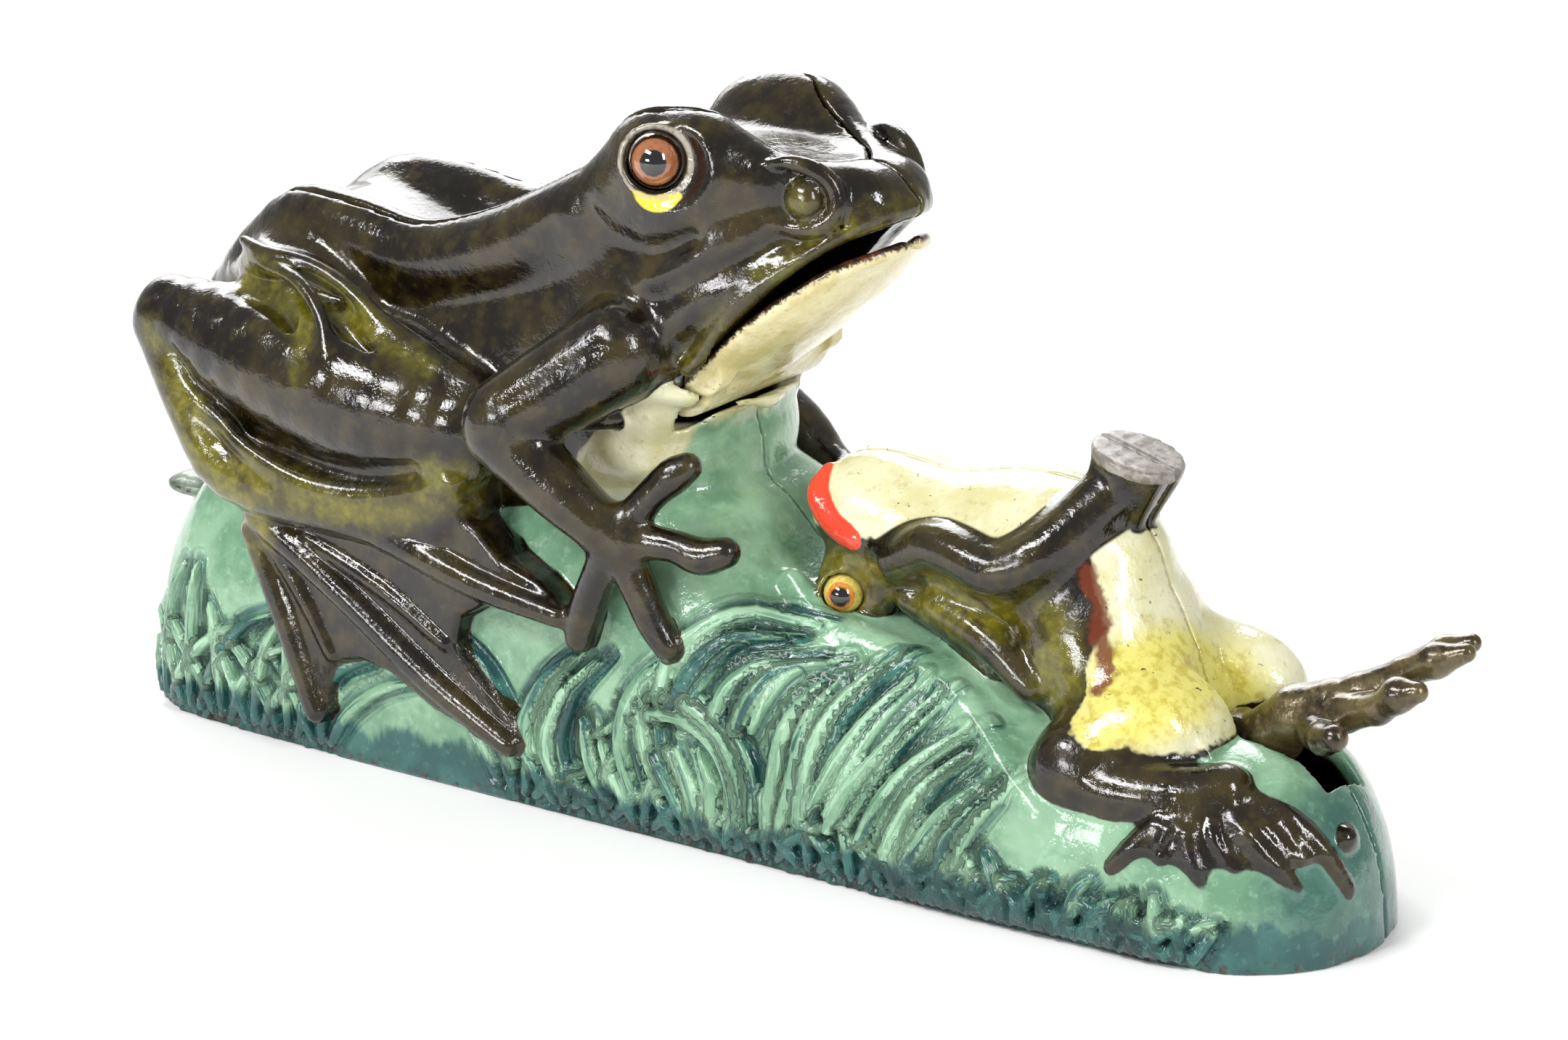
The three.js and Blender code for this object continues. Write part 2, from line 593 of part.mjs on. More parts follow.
function pushRod() {
  const eye = { x: PUSH_PIN_FRONT.x, z: PUSH_PIN_FRONT.z - 0.5 };
  const foot = { x: 60, z: 9 };
  const ledge = box(8, -8.6, 7, 2.4, 8.4, 5);
  return union(
    bar(PUSH_PIN_REAR, foot, 3, ...PUSH_SIDE, 3.4),
    bar(foot, eye, 2.4, ...PUSH_SIDE, 3.4),
    rodY(eye.x, eye.z, 3, ...PUSH_SIDE),
    ledge,
  )
    .subtract(rodY(PUSH_PIN_REAR.x, PUSH_PIN_REAR.z, LINK_PIN_R + LINK_PLAY, -9, -2))
    .subtract(rodY(eye.x, eye.z, 1 + LINK_PLAY, -9, -2));
}

// The leg that kicks: an ankle on the pivot, a sole that widens, and four toes joined by skin.
function kickerLeg() {
  const ankle = [
    rodY(KICK_PIVOT.x, KICK_PIVOT.z, 3.6, -2.4, 2.4),
    bar(KICK_PIVOT, PUSH_PIN_FRONT, 2, -2.4, 2.4),
    limb([KICK_PIVOT.x + 1, 0, KICK_PIVOT.z], [83, 0, 24.4], 2.4, 3),
    limb([83.5, 0, 24], [81.5, 0, 21.5], 3.2, 2.6),
  ];
  const tips = [[95.2, -7.4, 29.6], [104.6, -4.2, 37.4], [109.4, 1.2, 41.4], [108.4, 6.2, 41.8]];
  const toes = tips.map((tip) => limb([85, tip[1] * 0.25, 26.4], tip, 2.3, 1.5, 6));
  return union(ankle, toes)
    .subtract(rodY(KICK_PIVOT.x, KICK_PIVOT.z, PIN_R + BORE_CLEARANCE, -9, 9))
    .subtract(rodY(PUSH_PIN_FRONT.x, PUSH_PIN_FRONT.z, 1 + BORE_CLEARANCE, -9, 9));
}

// A coil spring along an axis: x, y and z of its start, its direction and its length.
function coil(start, direction, length, radius, wire, turns) {
  const axis = new THREE.Vector3(...direction);
  const [u, v] = [new THREE.Vector3(axis.y, axis.z, axis.x), new THREE.Vector3(axis.z, axis.x, axis.y)];
  const points = [];
  const perTurn = 7;
  const steps = Math.round(turns * perTurn);
  for (let i = 0; i <= steps; i++) {
    const t = (i / perTurn) * 2 * Math.PI;
    points.push(
      new THREE.Vector3(...start)
        .addScaledVector(axis, (length * i) / steps)
        .addScaledVector(u, radius * Math.cos(t))
        .addScaledVector(v, radius * Math.sin(t)),
    );
  }
  const section = new THREE.Shape(
    Array.from({ length: 4 }, (_, i) => {
      const t = (i / 4) * 2 * Math.PI;
      return new THREE.Vector2(wire * Math.cos(t), wire * Math.sin(t));
    }),
  );
  const path = new THREE.CatmullRomCurve3(points);
  return solid(new THREE.ExtrudeGeometry(section, { steps, extrudePath: path, bevelEnabled: false }));
}

// ---- Materials and the group ----
const material = (color, roughness, metalness = 0) =>
  new THREE.MeshStandardMaterial({ color, roughness, metalness });
const GREEN = material(0x5fae86, 0.25);
const OLIVE = material(0x3a2f14, 0.2);
const CREAM = material(0xe2dcb0, 0.35);
const IRON = material(0x6e6a66, 0.6, 0.8);
const STEEL = material(0x9a9a98, 0.4, 0.9);
const AMBER = material(0xb06a35, 0.05);
const YELLOW = material(0xe0b830, 0.05);

const bank = new THREE.Group();

function add(name, part, look) {
  const { vertProperties, triVerts, numProp, numVert } = part.getMesh();
  const positions = new Float32Array(numVert * 3);
  for (let i = 0; i < numVert; i++)
    positions.set(vertProperties.subarray(i * numProp, i * numProp + 3), i * 3);
  const geometry = new THREE.BufferGeometry();
  geometry.setAttribute("position", new THREE.BufferAttribute(positions, 3));
  geometry.setIndex(new THREE.BufferAttribute(triVerts, 1));
  geometry.computeVertexNormals();
  const mesh = new THREE.Mesh(geometry, look);
  mesh.name = name;
  bank.add(mesh);
}

const { body, cover } = castings();
const sockets = union(mirrored((side) => [eyeSocket(EYE_BIG, side), eyeSocket(EYE_SMALL, side)]).flat());
add("right_casting", half(body.subtract(sockets), -1), GREEN);
add("left_casting", half(body.subtract(sockets), 1), GREEN);
add("back_cover", cover.subtract(sockets), OLIVE);
add("base_plate", basePlate(), IRON);
add("trap_cover", trapCover(), IRON);
add("lower_jaw", lowerJaw(), CREAM);
add("kicker_leg", kickerLeg(), OLIVE);
add("lever", lever(), GREEN);
add("lift_rod", liftRod(), IRON);
add("push_rod", pushRod(), IRON);
add("lever_pivot_pin", rodY(LEVER_PIVOT.x, LEVER_PIVOT.z, PIN_R, -7, 7), STEEL);
add("jaw_pivot_pin", rodY(JAW_PIVOT.x, JAW_PIVOT.z, PIN_R, -17, 17), STEEL);
add("kicker_pivot_pin", rodY(KICK_PIVOT.x, KICK_PIVOT.z, PIN_R, -9, 8), STEEL);
add("lever_lift_pin", rodY(LIFT_PIN_LOW.x, LIFT_PIN_LOW.z, LINK_PIN_R, -2.2, 6), STEEL);
add("lever_push_pin", rodY(PUSH_PIN_REAR.x, PUSH_PIN_REAR.z, LINK_PIN_R, -6, 2.2), STEEL);
add("jaw_tail_pin", rodY(LIFT_PIN_HIGH.x, LIFT_PIN_HIGH.z, LINK_PIN_R, -2.6, 6), STEEL);
add("kicker_tail_pin", rodY(PUSH_PIN_FRONT.x, PUSH_PIN_FRONT.z, 1, -5.8, 2.6), STEEL);
add("lever_spring", coil([-52, 0, 4.2], [0, 0, 1], 15, 2.2, 0.45, 5.5), STEEL);
add("push_rod_spring", coil([10.2, -8.6, 7.4], [1, 0, 0], 21.6, 2, 0.45, 6), STEEL);
SIDES.forEach((side) => {
  const name = side < 0 ? "right" : "left";
  add("large_frog_" + name + "_eye", eyeGlass(EYE_BIG, side), AMBER);
  add("small_frog_" + name + "_eye", eyeGlass(EYE_SMALL, side), YELLOW);
});
for (const [name, place] of Object.entries(SCREWS)) add(name, screwY(place), STEEL);
for (const [name, place] of Object.entries(PLATE_SCREWS)) add(name, plateScrew(place), STEEL);

export default bank;
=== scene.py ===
"""The looks of the frog bank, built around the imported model.

The painted castings are sculpted as signed distance fields in millimetres: lofts, limbs and ellipsoids
flow into each other, the halves are parted, and each field is skinned by surface nets. What is painted
where is stored as signed distances at the mesh's points, which the paint material turns into brushed
edges. The row frame is kept: +X towards the small frog, +Z up, the near side is -Y.
"""

import math

import bpy
import numpy as np
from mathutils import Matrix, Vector


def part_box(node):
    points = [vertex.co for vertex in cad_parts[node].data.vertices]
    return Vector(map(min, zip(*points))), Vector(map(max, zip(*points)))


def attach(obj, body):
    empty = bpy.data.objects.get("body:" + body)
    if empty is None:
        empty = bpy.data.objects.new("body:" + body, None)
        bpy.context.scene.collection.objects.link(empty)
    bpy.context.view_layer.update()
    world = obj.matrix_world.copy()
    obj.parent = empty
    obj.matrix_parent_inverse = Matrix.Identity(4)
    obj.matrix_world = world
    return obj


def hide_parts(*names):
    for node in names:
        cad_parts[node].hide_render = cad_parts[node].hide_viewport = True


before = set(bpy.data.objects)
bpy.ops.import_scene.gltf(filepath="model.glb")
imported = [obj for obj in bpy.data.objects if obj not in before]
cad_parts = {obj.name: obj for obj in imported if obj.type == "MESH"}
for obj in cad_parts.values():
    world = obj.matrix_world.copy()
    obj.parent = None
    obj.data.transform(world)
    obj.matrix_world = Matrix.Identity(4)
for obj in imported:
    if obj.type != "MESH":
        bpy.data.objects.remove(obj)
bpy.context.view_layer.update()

MM = 0.001
FAR = 50.0  # a distance that touches nothing, in millimetres
SIDES = (-1, 1)  # the frogs' right is -Y, their left is +Y
NEAR = -1
DRUM = 2.6  # squareness of a barrel in plan
FLOW_STEPS = 3  # straight limbs between two points of a flow

# ---- Driving sizes, in millimetres, as in the castings ----
WALL = 2.8
GAP = 0.3
PITCH = 0.62  # of the castings' grid
JAW_PIVOT = (-5, 64)
JAW_SWING = 22
MOUTH_SLOPE = 38.6
JAW_LENGTH = 36.8
JAW_HALF_WIDTH = 16.5
JAW_DEPTH = 5.4
JAW_WALL = 2.2
PIVOT_BORE = 1.75
LINK_BORE = 1.45
KICK_TAIL_BORE = 1.25
# along the mouth from the pivot: how high the upper lip's and the jaw's edges arch
UPPER_EDGE = ((-2, 4, 8, 14, 20, 27, 32, 38, 60), (-1.6, -1.3, -0.7, 1.0, 2.1, 2.5, 2.3, 1.2, 1.0))
JAW_EDGE = ((-6, 4.3, 16, 28.6, 32.4, 35.7, 37.5), (-1.8, -1.2, 0.0, -0.4, -1.3, -2.2, -3.2))
KICK_PIVOT = (77, 24)
COIN_REST = {"x": 60.4, "z": 60.2, "r": 6.5, "thick": 1.6, "tilt": 15.8}
RIDGES = 7  # up the stalk under the coin rest
PAINT_REACH = 4  # how far from its edge a painted place's distance is kept
AZIMUTH = math.radians(35)  # of the view, from the near side towards the small frog

# x, half width at the ground, height, squareness of the section
MOUND = np.array([
    (-100, 15.5, 7, 2.8), (-98.5, 18, 21, 2.8), (-95.5, 21, 33, 2.8), (-88, 24, 39, 3),
    (-60, 25.3, 43, 3.2), (-30, 25.4, 45, 3.2), (-10, 25.6, 50, 3.2), (2, 25.6, 46, 3.2),
    (12, 25.7, 38, 3.2), (24, 25.8, 34.5, 3.2), (42, 26, 32.5, 3), (56, 25.8, 27, 3),
    (76, 24.6, 26.5, 2.8), (88, 20.6, 25, 2.4), (94, 16, 20.5, 2.2), (98.4, 10, 13, 2.1),
    (100.8, 3.6, 6, 2),
]).T
# x, top, bottom, half width
TRUNK = np.array([
    (-94, 60, 52, 5), (-90, 66.5, 44, 12), (-83, 74, 38, 17), (-70, 78.5, 34, 19.5), (-50, 74.5, 32, 20),
    (-36, 77, 32, 19.5), (-24, 85, 34, 19), (-16, 92.5, 42, 19), (-8, 95.5, 52, 18.8), (0, 96.2, 60, 17.2),
    (8, 95.6, 66, 13.8), (16, 94.4, 72, 9.4), (21, 91.8, 76, 6.2), (25, 88.6, 82, 2.2),
]).T
# the cover on the back and head, from above: x, half width
COVER = np.array([
    (-88, 2), (-83, 8.5), (-76, 12), (-66, 13.5), (-46, 13.5), (-22, 13.5), (-8, 14.2), (-1.5, 12.6),
    (1.5, 10.2), (8, 8), (13, 5), (16.8, 0.2),
]).T
COVER_FLOOR = 70


# ---- Curves and shapes ----
def through(xs, ys, x):
    """A smooth curve through points that never overshoots them."""
    xs, ys, x = (np.asarray(values, float) for values in (xs, ys, x))
    steps = np.diff(xs)
    slopes = np.diff(ys) / steps
    tangents = np.zeros(len(xs))
    before, after = slopes[:-1], slopes[1:]
    same = before * after > 0
    tangents[1:-1][same] = 2 * before[same] * after[same] / (before[same] + after[same])
    tangents[0], tangents[-1] = slopes[0], slopes[-1]
    i = np.clip(np.searchsorted(xs, x) - 1, 0, len(xs) - 2)
    t = np.clip((x - xs[i]) / steps[i], 0, 1)
    rise = ys[i + 1] - ys[i]
    start, end = tangents[i] * steps[i], tangents[i + 1] * steps[i]
    return ys[i] + t * (start + t * (3 * rise - 2 * start - end + t * (start + end - 2 * rise)))


def smooth_min(a, b, blend):
    if blend <= 0:
        return np.minimum(a, b)
    overlap = np.maximum(blend - np.abs(a - b), 0)
    return np.minimum(a, b) - overlap * overlap / (4 * blend)


class Shape:
    """A signed distance, and the box that holds the shape."""

    def __init__(self, distance, low, high):
        self.distance = distance
        self.low = np.array(low, float)
        self.high = np.array(high, float)


def limb(a, b, ra, rb):
    """A round limb between two points, with a radius at each."""
    a, b = [float(v) for v in a], [float(v) for v in b]
    along = [q - p for p, q in zip(a, b)]
    length2 = max(sum(v * v for v in along), 1e-9)

    def distance(x, y, z):
        px, py, pz = x - a[0], y - a[1], z - a[2]
        t = np.clip((px * along[0] + py * along[1] + pz * along[2]) / length2, 0, 1)
        gap = (px - t * along[0]) ** 2 + (py - t * along[1]) ** 2 + (pz - t * along[2]) ** 2
        return np.sqrt(gap) - (ra + (rb - ra) * t)

    r = max(ra, rb)
    shape = Shape(distance, np.minimum(a, b) - r, np.maximum(a, b) + r)
    shape.line = a, along, math.sqrt(length2)
    return shape


def chain(points):
    """Limbs through a list of (x, y, z, radius)."""
    return [limb(p[:3], q[:3], p[3], q[3]) for p, q in zip(points, points[1:])]


def together(shapes):
    """Several shapes as one, so that they don't swell where they meet."""

    def distance(x, y, z):
        nearest = shapes[0].distance(x, y, z)
        for shape in shapes[1:]:
            nearest = np.minimum(nearest, shape.distance(x, y, z))
        return nearest

    return Shape(distance, np.min([s.low for s in shapes], axis=0), np.max([s.high for s in shapes], axis=0))


def flow(points, side=1):
    """A limb along a smooth curve through a list of (x, y, z, radius), given for the left side."""
    p = np.array(points, float)
    p[:, 1] *= side
    p = np.concatenate([[2 * p[0] - p[1]], p, [2 * p[-1] - p[-2]]])
    line = []
    for a, b, c, d in zip(p, p[1:], p[2:], p[3:]):
        bend, twist = 2 * a - 5 * b + 4 * c - d, 3 * b - a - 3 * c + d
        for t in np.arange(FLOW_STEPS) / FLOW_STEPS:
            line.append(0.5 * (2 * b + (c - a) * t + bend * t**2 + twist * t**3))
    line.append(p[-2])
    return together(chain(line))


def ball(x, y, z, r):
    return limb((x, y, z), (x, y, z + 1e-3), r, r)


def ellipsoid(centre, radii, lean=0.0, yaw=0.0):
    """lean lowers the +X end, yaw turns it towards +Y, in degrees."""
    cx, cy, cz = (float(v) for v in centre)
    rx, ry, rz = (float(v) for v in radii)
    cl, sl = math.cos(math.radians(lean)), math.sin(math.radians(lean))
    cw, sw = math.cos(math.radians(yaw)), math.sin(math.radians(yaw))

    def distance(x, y, z):
        px, py, pz = x - cx, y - cy, z - cz
        px, py = px * cw + py * sw, py * cw - px * sw
        px, pz = px * cl - pz * sl, px * sl + pz * cl
        a = np.sqrt((px / rx) ** 2 + (py / ry) ** 2 + (pz / rz) ** 2)
        b = np.sqrt((px / rx**2) ** 2 + (py / ry**2) ** 2 + (pz / rz**2) ** 2)
        return a * (a - 1) / np.maximum(b, 1e-6)

    r = max(rx, ry, rz)
    return Shape(distance, np.array((cx, cy, cz)) - r, np.array((cx, cy, cz)) + r)


def around(centre, axis, x, y, z):
    """How far points lie along an axis, and how far out from it."""
    px, py, pz = x - centre[0], y - centre[1], z - centre[2]
    h = px * axis[0] + py * axis[1] + pz * axis[2]
    return h, np.sqrt(np.maximum(px * px + py * py + pz * pz - h * h, 0))


def disc(centre, axis, r, half):
    """A flat disc about an axis, with its edge a little rounded."""
    centre = [float(v) for v in centre]
    axis = [float(v) for v in Vector(axis).normalized()]
    soft = min(0.35, half * 0.6)

    def distance(x, y, z):
        h, out = around(centre, axis, x, y, z)
        out = out - r + soft
        up = np.abs(h) - half + soft
        rounded = np.sqrt(np.maximum(out, 0) ** 2 + np.maximum(up, 0) ** 2)
        return rounded + np.minimum(np.maximum(out, up), 0) - soft

    reach = math.hypot(r, half)
    return Shape(distance, np.array(centre) - reach, np.array(centre) + reach)


def ring(centre, axis, r, tube):
    """A torus about an axis."""
    centre = [float(v) for v in centre]
    axis = [float(v) for v in Vector(axis).normalized()]

    def distance(x, y, z):
        h, out = around(centre, axis, x, y, z)
        out = out - r
        return np.sqrt(out * out + h * h) - tube

    return Shape(distance, np.array(centre) - r - tube, np.array(centre) + r + tube)


def cone(a, b, ra, rb):
    """A flat-ended cone between two points."""
    a, b = [float(v) for v in a], [float(v) for v in b]
    along = [q - p for p, q in zip(a, b)]
    length = math.sqrt(sum(v * v for v in along))
    along = [v / length for v in along]

    def distance(x, y, z):
        h, out = around(a, along, x, y, z)
        side = out - (ra + (rb - ra) * np.clip(h / length, 0, 1))
        return np.maximum(side, np.maximum(-h, h - length))

    r = max(ra, rb)
    return Shape(distance, np.minimum(a, b) - r, np.maximum(a, b) + r)


def rod(place, y0, y1, r, end_r=None):
    """A flat-ended rod across the bank, at an (x, z)."""
    return cone((place[0], y0, place[1]), (place[0], y1, place[1]), r, end_r or r)


def over_plane(point, normal, x, y, z):
    """How far points lie over the plane through a point."""
    (a, b, c), (u, v, w) = point.tolist(), normal.tolist()
    return (x - a) * u + (y - b) * v + (z - c) * w


def web(a, b, c, thick):
    """A thin skin over a triangle."""
    a, b, c = (np.array(p, float) for p in (a, b, c))
    normal = np.cross(b - a, c - a)
    normal /= np.linalg.norm(normal)
    edges = []
    for p, q in ((a, b), (b, c), (c, a)):
        inward = np.cross(normal, q - p)
        edges.append((p, inward / np.linalg.norm(inward)))

    def distance(x, y, z):
        worst = np.abs(over_plane(a, normal, x, y, z)) - thick
        for corner, inward in edges:
            worst = np.maximum(worst, -over_plane(corner, inward, x, y, z))
        return worst

    corners = np.array((a, b, c))
    return Shape(distance, corners.min(0) - thick, corners.max(0) + thick)


def barrel(x0, rx, ry, low, high, soft):
    """An upright drum, a little square in plan, that narrows downwards."""

    def distance(x, y, z):
        drop = np.maximum(high - z, 0)
        wide = rx - 0.55 * np.minimum(drop, 9)
        deep = ry - 0.1 * np.minimum(drop, 9)
        level = ((np.abs(x - x0) / wide) ** DRUM + (np.abs(y) / deep) ** DRUM) ** (1 / DRUM)
        return -smooth_min(-0.9 * (level - 1) * wide, -np.maximum(low - z, z - high), soft)

    return Shape(distance, (x0 - rx, -ry, low), (x0 + rx, ry, high))


def block(low, high):
    low, high = [float(v) for v in low], [float(v) for v in high]

    def distance(x, y, z):
        d = np.maximum(low[0] - x, x - high[0])
        d = np.maximum(d, np.maximum(low[1] - y, y - high[1]))
        return np.maximum(d, np.maximum(low[2] - z, z - high[2]))

    return Shape(distance, low, high)


def plate(outline, y0, y1, soft=0.0):
    """An outline in the XZ plane, from y0 to y1, with soft edges."""
    points = [(float(p[0]), float(p[1])) for p in outline]

    def distance(x, y, z):
        flat = np.full(np.broadcast(x, z).shape, 1e9)
        odd = np.zeros(flat.shape, bool)
        for (ax, az), (bx, bz) in zip(points, points[1:] + points[:1]):
            ex, ez = bx - ax, bz - az
            t = np.clip(((x - ax) * ex + (z - az) * ez) / (ex * ex + ez * ez), 0, 1)
            flat = np.minimum(flat, (x - ax - t * ex) ** 2 + (z - az - t * ez) ** 2)
            if ez:
                odd ^= ((az > z) != (bz > z)) & (x < ex * (z - az) / ez + ax)
        flat = np.sqrt(flat) * np.where(odd, -1, 1)
        across = np.abs(y - (y0 + y1) / 2) - (y1 - y0) / 2
        return -smooth_min(-flat, -across, soft)

    xs, zs = zip(*points)
    return Shape(distance, (min(xs), y0, min(zs)), (max(xs), y1, max(zs)))


# ---- Fields and their skins ----
class Field:
    """A signed distance on a regular grid, in millimetres, below zero inside."""

    def __init__(self, low, high, pitch):
        self.low = np.array(low, float)
        self.pitch = pitch
        self.size = [int(math.ceil((b - a) / pitch)) + 1 for a, b in zip(low, high)]
        self.values = np.full(self.size, FAR, np.float32)

    def like(self):
        """An empty field on the same grid."""
        twin = Field.__new__(Field)
        twin.low, twin.pitch, twin.size = self.low, self.pitch, self.size
        twin.values = np.full(self.size, FAR, np.float32)
        return twin

    def copy(self):
        twin = self.like()
        twin.values = self.values.copy()
        return twin

    def axes(self, start=(0, 0, 0), stop=None):
        """The grid's x, y and z, shaped to broadcast, over all of it or a part."""
        x, y, z = [
            (low + self.pitch * np.arange(a, b)).astype(np.float32)
            for low, a, b in zip(self.low, start, stop or self.size)
        ]
        return x[:, None, None], y[None, :, None], z[None, None, :]

    def window(self, shape, margin):
        """The part of the grid near a shape, as slices and their axes."""
        low = (shape.low - margin - self.low) / self.pitch
        high = (shape.high + margin - self.low) / self.pitch
        start = [max(0, math.floor(v)) for v in low]
        stop = [min(size, math.ceil(v) + 1) for v, size in zip(high, self.size)]
        if any(b <= a for a, b in zip(start, stop)):
            return None, None
        return tuple(slice(a, b) for a, b in zip(start, stop)), self.axes(start, stop)

    def join(self, shapes, blend=0.0, reach=3.0):
        for shape in shapes if isinstance(shapes, list) else [shapes]:
            where, axes = self.window(shape, blend + reach)
            if where:
                self.values[where] = smooth_min(self.values[where], shape.distance(*axes), blend)
        return self

    def cut(self, shapes, blend=0.0, grow=0.0):
        for shape in shapes if isinstance(shapes, list) else [shapes]:
            where, axes = self.window(shape, blend + grow + 2)
            if where:
                room = shape.distance(*axes) - grow
                self.values[where] = -smooth_min(-self.values[where], room, blend)
        return self

    def join_level(self, level, stations, soft):
        """Joins a loft through stations, given as a level that is 1 on its skin, with flat ends."""
        x, y, z = self.axes()
        values = level(x, y, z).astype(np.float32)
        slopes = np.gradient(values, self.pitch)
        steep = np.sqrt(sum(s * s for s in slopes))
        skin = (values - 1) / np.maximum(steep, 0.012)
        ends = np.maximum(float(stations[0]) - x, x - float(stations[-1]))
        skin = -smooth_min(-skin, -ends, soft)
        self.values = np.minimum(self.values, skin.astype(np.float32))

    def sample(self, points):
        """The field's value at points, in millimetres."""
        place = (points - self.low) / self.pitch
        top = np.array(self.size) - 2
        i = np.clip(np.floor(place).astype(int), 0, top)
        t = np.clip(place - i, 0, 1)
        total = np.zeros(len(points))
        for dx in (0, 1):
            for dy in (0, 1):
                for dz in (0, 1):
                    weight = (t[:, 0] if dx else 1 - t[:, 0]) * (t[:, 1] if dy else 1 - t[:, 1])
                    weight = weight * (t[:, 2] if dz else 1 - t[:, 2])
                    total += weight * self.values[i[:, 0] + dx, i[:, 1] + dy, i[:, 2] + dz]
        return total


CORNERS = [(i, j, k) for i in (0, 1) for j in (0, 1) for k in (0, 1)]


def skin_of(field):
    """Surface nets: a point in each cell that the skin passes, and a quad across each crossed edge."""
    values = field.values
    inside = values < 0
    count = np.zeros([n - 1 for n in values.shape], np.uint8)
    for corner in CORNERS:
        count += inside[tuple(slice(c, n - 1 + c) for c, n in zip(corner, values.shape))]
    active = (count > 0) & (count < 8)
    cells = np.argwhere(active)
    number = np.full(active.shape, -1, np.int64)
    number[active] = np.arange(len(cells))
    at = {c: values[tuple((cells + c).T)].astype(float) for c in CORNERS}
    total = np.zeros((len(cells), 3))
    hits = np.zeros(len(cells))
    for axis in range(3):
        for corner in (c for c in CORNERS if c[axis] == 0):
            other = tuple(1 if i == axis else c for i, c in enumerate(corner))
            a, b = at[corner], at[other]
            crossed = (a < 0) != (b < 0)
            share = a[crossed] / (a[crossed] - b[crossed])
            point = np.tile(np.array(corner, float), (len(share), 1))
            point[:, axis] += share
            total[crossed] += point
            hits += crossed
    points = field.low + field.pitch * (cells + total / hits[:, None])
    quads = []
    for axis in range(3):
        u, w = (axis + 1) % 3, (axis + 2) % 3
        first = [slice(None)] * 3
        second = [slice(None)] * 3
        first[axis], second[axis] = slice(0, -1), slice(1, None)
        crossed = inside[tuple(first)] != inside[tuple(second)]
        edge = [slice(None)] * 3
        edge[u] = edge[w] = slice(1, -1)
        found = np.argwhere(crossed[tuple(edge)])
        found[:, u] += 1
        found[:, w] += 1
        corners = []
        for du, dw in ((-1, -1), (0, -1), (0, 0), (-1, 0)):
            cell = found.copy()
            cell[:, u] += du
            cell[:, w] += dw
            corners.append(number[tuple(cell.T)])
        faces = np.stack(corners, 1)
        outward = inside[tuple(found.T)]
        faces[~outward] = faces[~outward][:, ::-1]
        quads.append(faces)
    return points, np.concatenate(quads)


def slopes_at(field, points):
    """The direction out of the field at points."""
    reach = 0.8 * field.pitch
    columns = []
    for axis in range(3):
        step = np.zeros(3)
        step[axis] = reach
        columns.append(field.sample(points + step) - field.sample(points - step))
    slope = np.stack(columns, 1)
    return slope / np.maximum(np.linalg.norm(slope, axis=1, keepdims=True), 1e-9)


def largest_body(points, quads):
    """Drops every crumb that isn't joined to the main body."""
    label = np.arange(len(points))
    edges = np.concatenate([quads[:, [0, 1]], quads[:, [1, 2]], quads[:, [2, 3]]])
    while True:
        low = np.minimum(label[edges[:, 0]], label[edges[:, 1]])
        before = label.copy()
        np.minimum.at(label, edges[:, 0], low)
        np.minimum.at(label, edges[:, 1], low)
        label = label[label]
        label = label[label]
        if (label == before).all():
            break
    main = np.bincount(label).argmax()
    kept = label == main
    number = np.cumsum(kept) - 1
    return points[kept], number[quads[kept[quads[:, 0]]]]


def add_object(name, data):
    item = bpy.data.objects.new(name, data)
    bpy.context.scene.collection.objects.link(item)
    return item


def cast_piece(name, field, body, node, material, paints=None):
    """Skins a field as a piece that rides on a body and stands for a CAD node."""
    points, quads = largest_body(*skin_of(field))
    normals = slopes_at(field, points)
    mesh = bpy.data.meshes.new(name)
    mesh.vertices.add(len(points))
    mesh.vertices.foreach_set("co", (points * MM).astype(np.float32).ravel())
    mesh.loops.add(quads.size)
    mesh.loops.foreach_set("vertex_index", quads.astype(np.int32).ravel())
    mesh.polygons.add(len(quads))
    mesh.polygons.foreach_set("loop_start", np.arange(0, quads.size, 4, dtype=np.int32))
    mesh.update(calc_edges=True)
    mesh.validate()
    mesh.shade_smooth()
    mesh.normals_split_custom_set_from_vertices(normals.tolist())
    for paint, values in (paints(points) if paints else {}).items():
        attribute = mesh.attributes.new(paint, "FLOAT", "POINT")
        attribute.data.foreach_set("value", np.asarray(values, np.float32))
    place_piece(add_object(name, mesh), body, node, material)


def place_piece(piece, body, node, material):
    """A piece gets its material, rides on a body and stands for a CAD node."""
    piece.data.materials.append(material)
    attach(piece, body)
    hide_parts(node)


# ---- The mound and its grass ----
def drift(x):
    """The front end of the mound leans to the right."""
    return np.minimum(0, (70 - x) / 8)


def mound_level(x, y, z):
    width, height, squareness = (through(MOUND[0], MOUND[i], x) for i in (1, 2, 3))
    across = np.abs((y - drift(x)) / width).astype(np.float32)
    up = (np.maximum(z, 0) / height).astype(np.float32)
    squareness = squareness.astype(np.float32)
    return (across**squareness + up**squareness) ** (1 / squareness)


def on_mound(x, climb, side):
    """The point on the mound's skin at x, that far up from the ground along the skin."""
    width, height, squareness = (float(through(MOUND[0], MOUND[i], x)) for i in (1, 2, 3))
    t = np.linspace(0, math.pi / 2, 60)
    across = width * np.cos(t) ** (2 / squareness)
    up = height * np.sin(t) ** (2 / squareness)
    length = np.concatenate([[0], np.cumsum(np.hypot(np.diff(across), np.diff(up)))])
    y = side * np.interp(climb, length, across) + float(drift(x))
    return x, y, float(np.interp(climb, length, up))


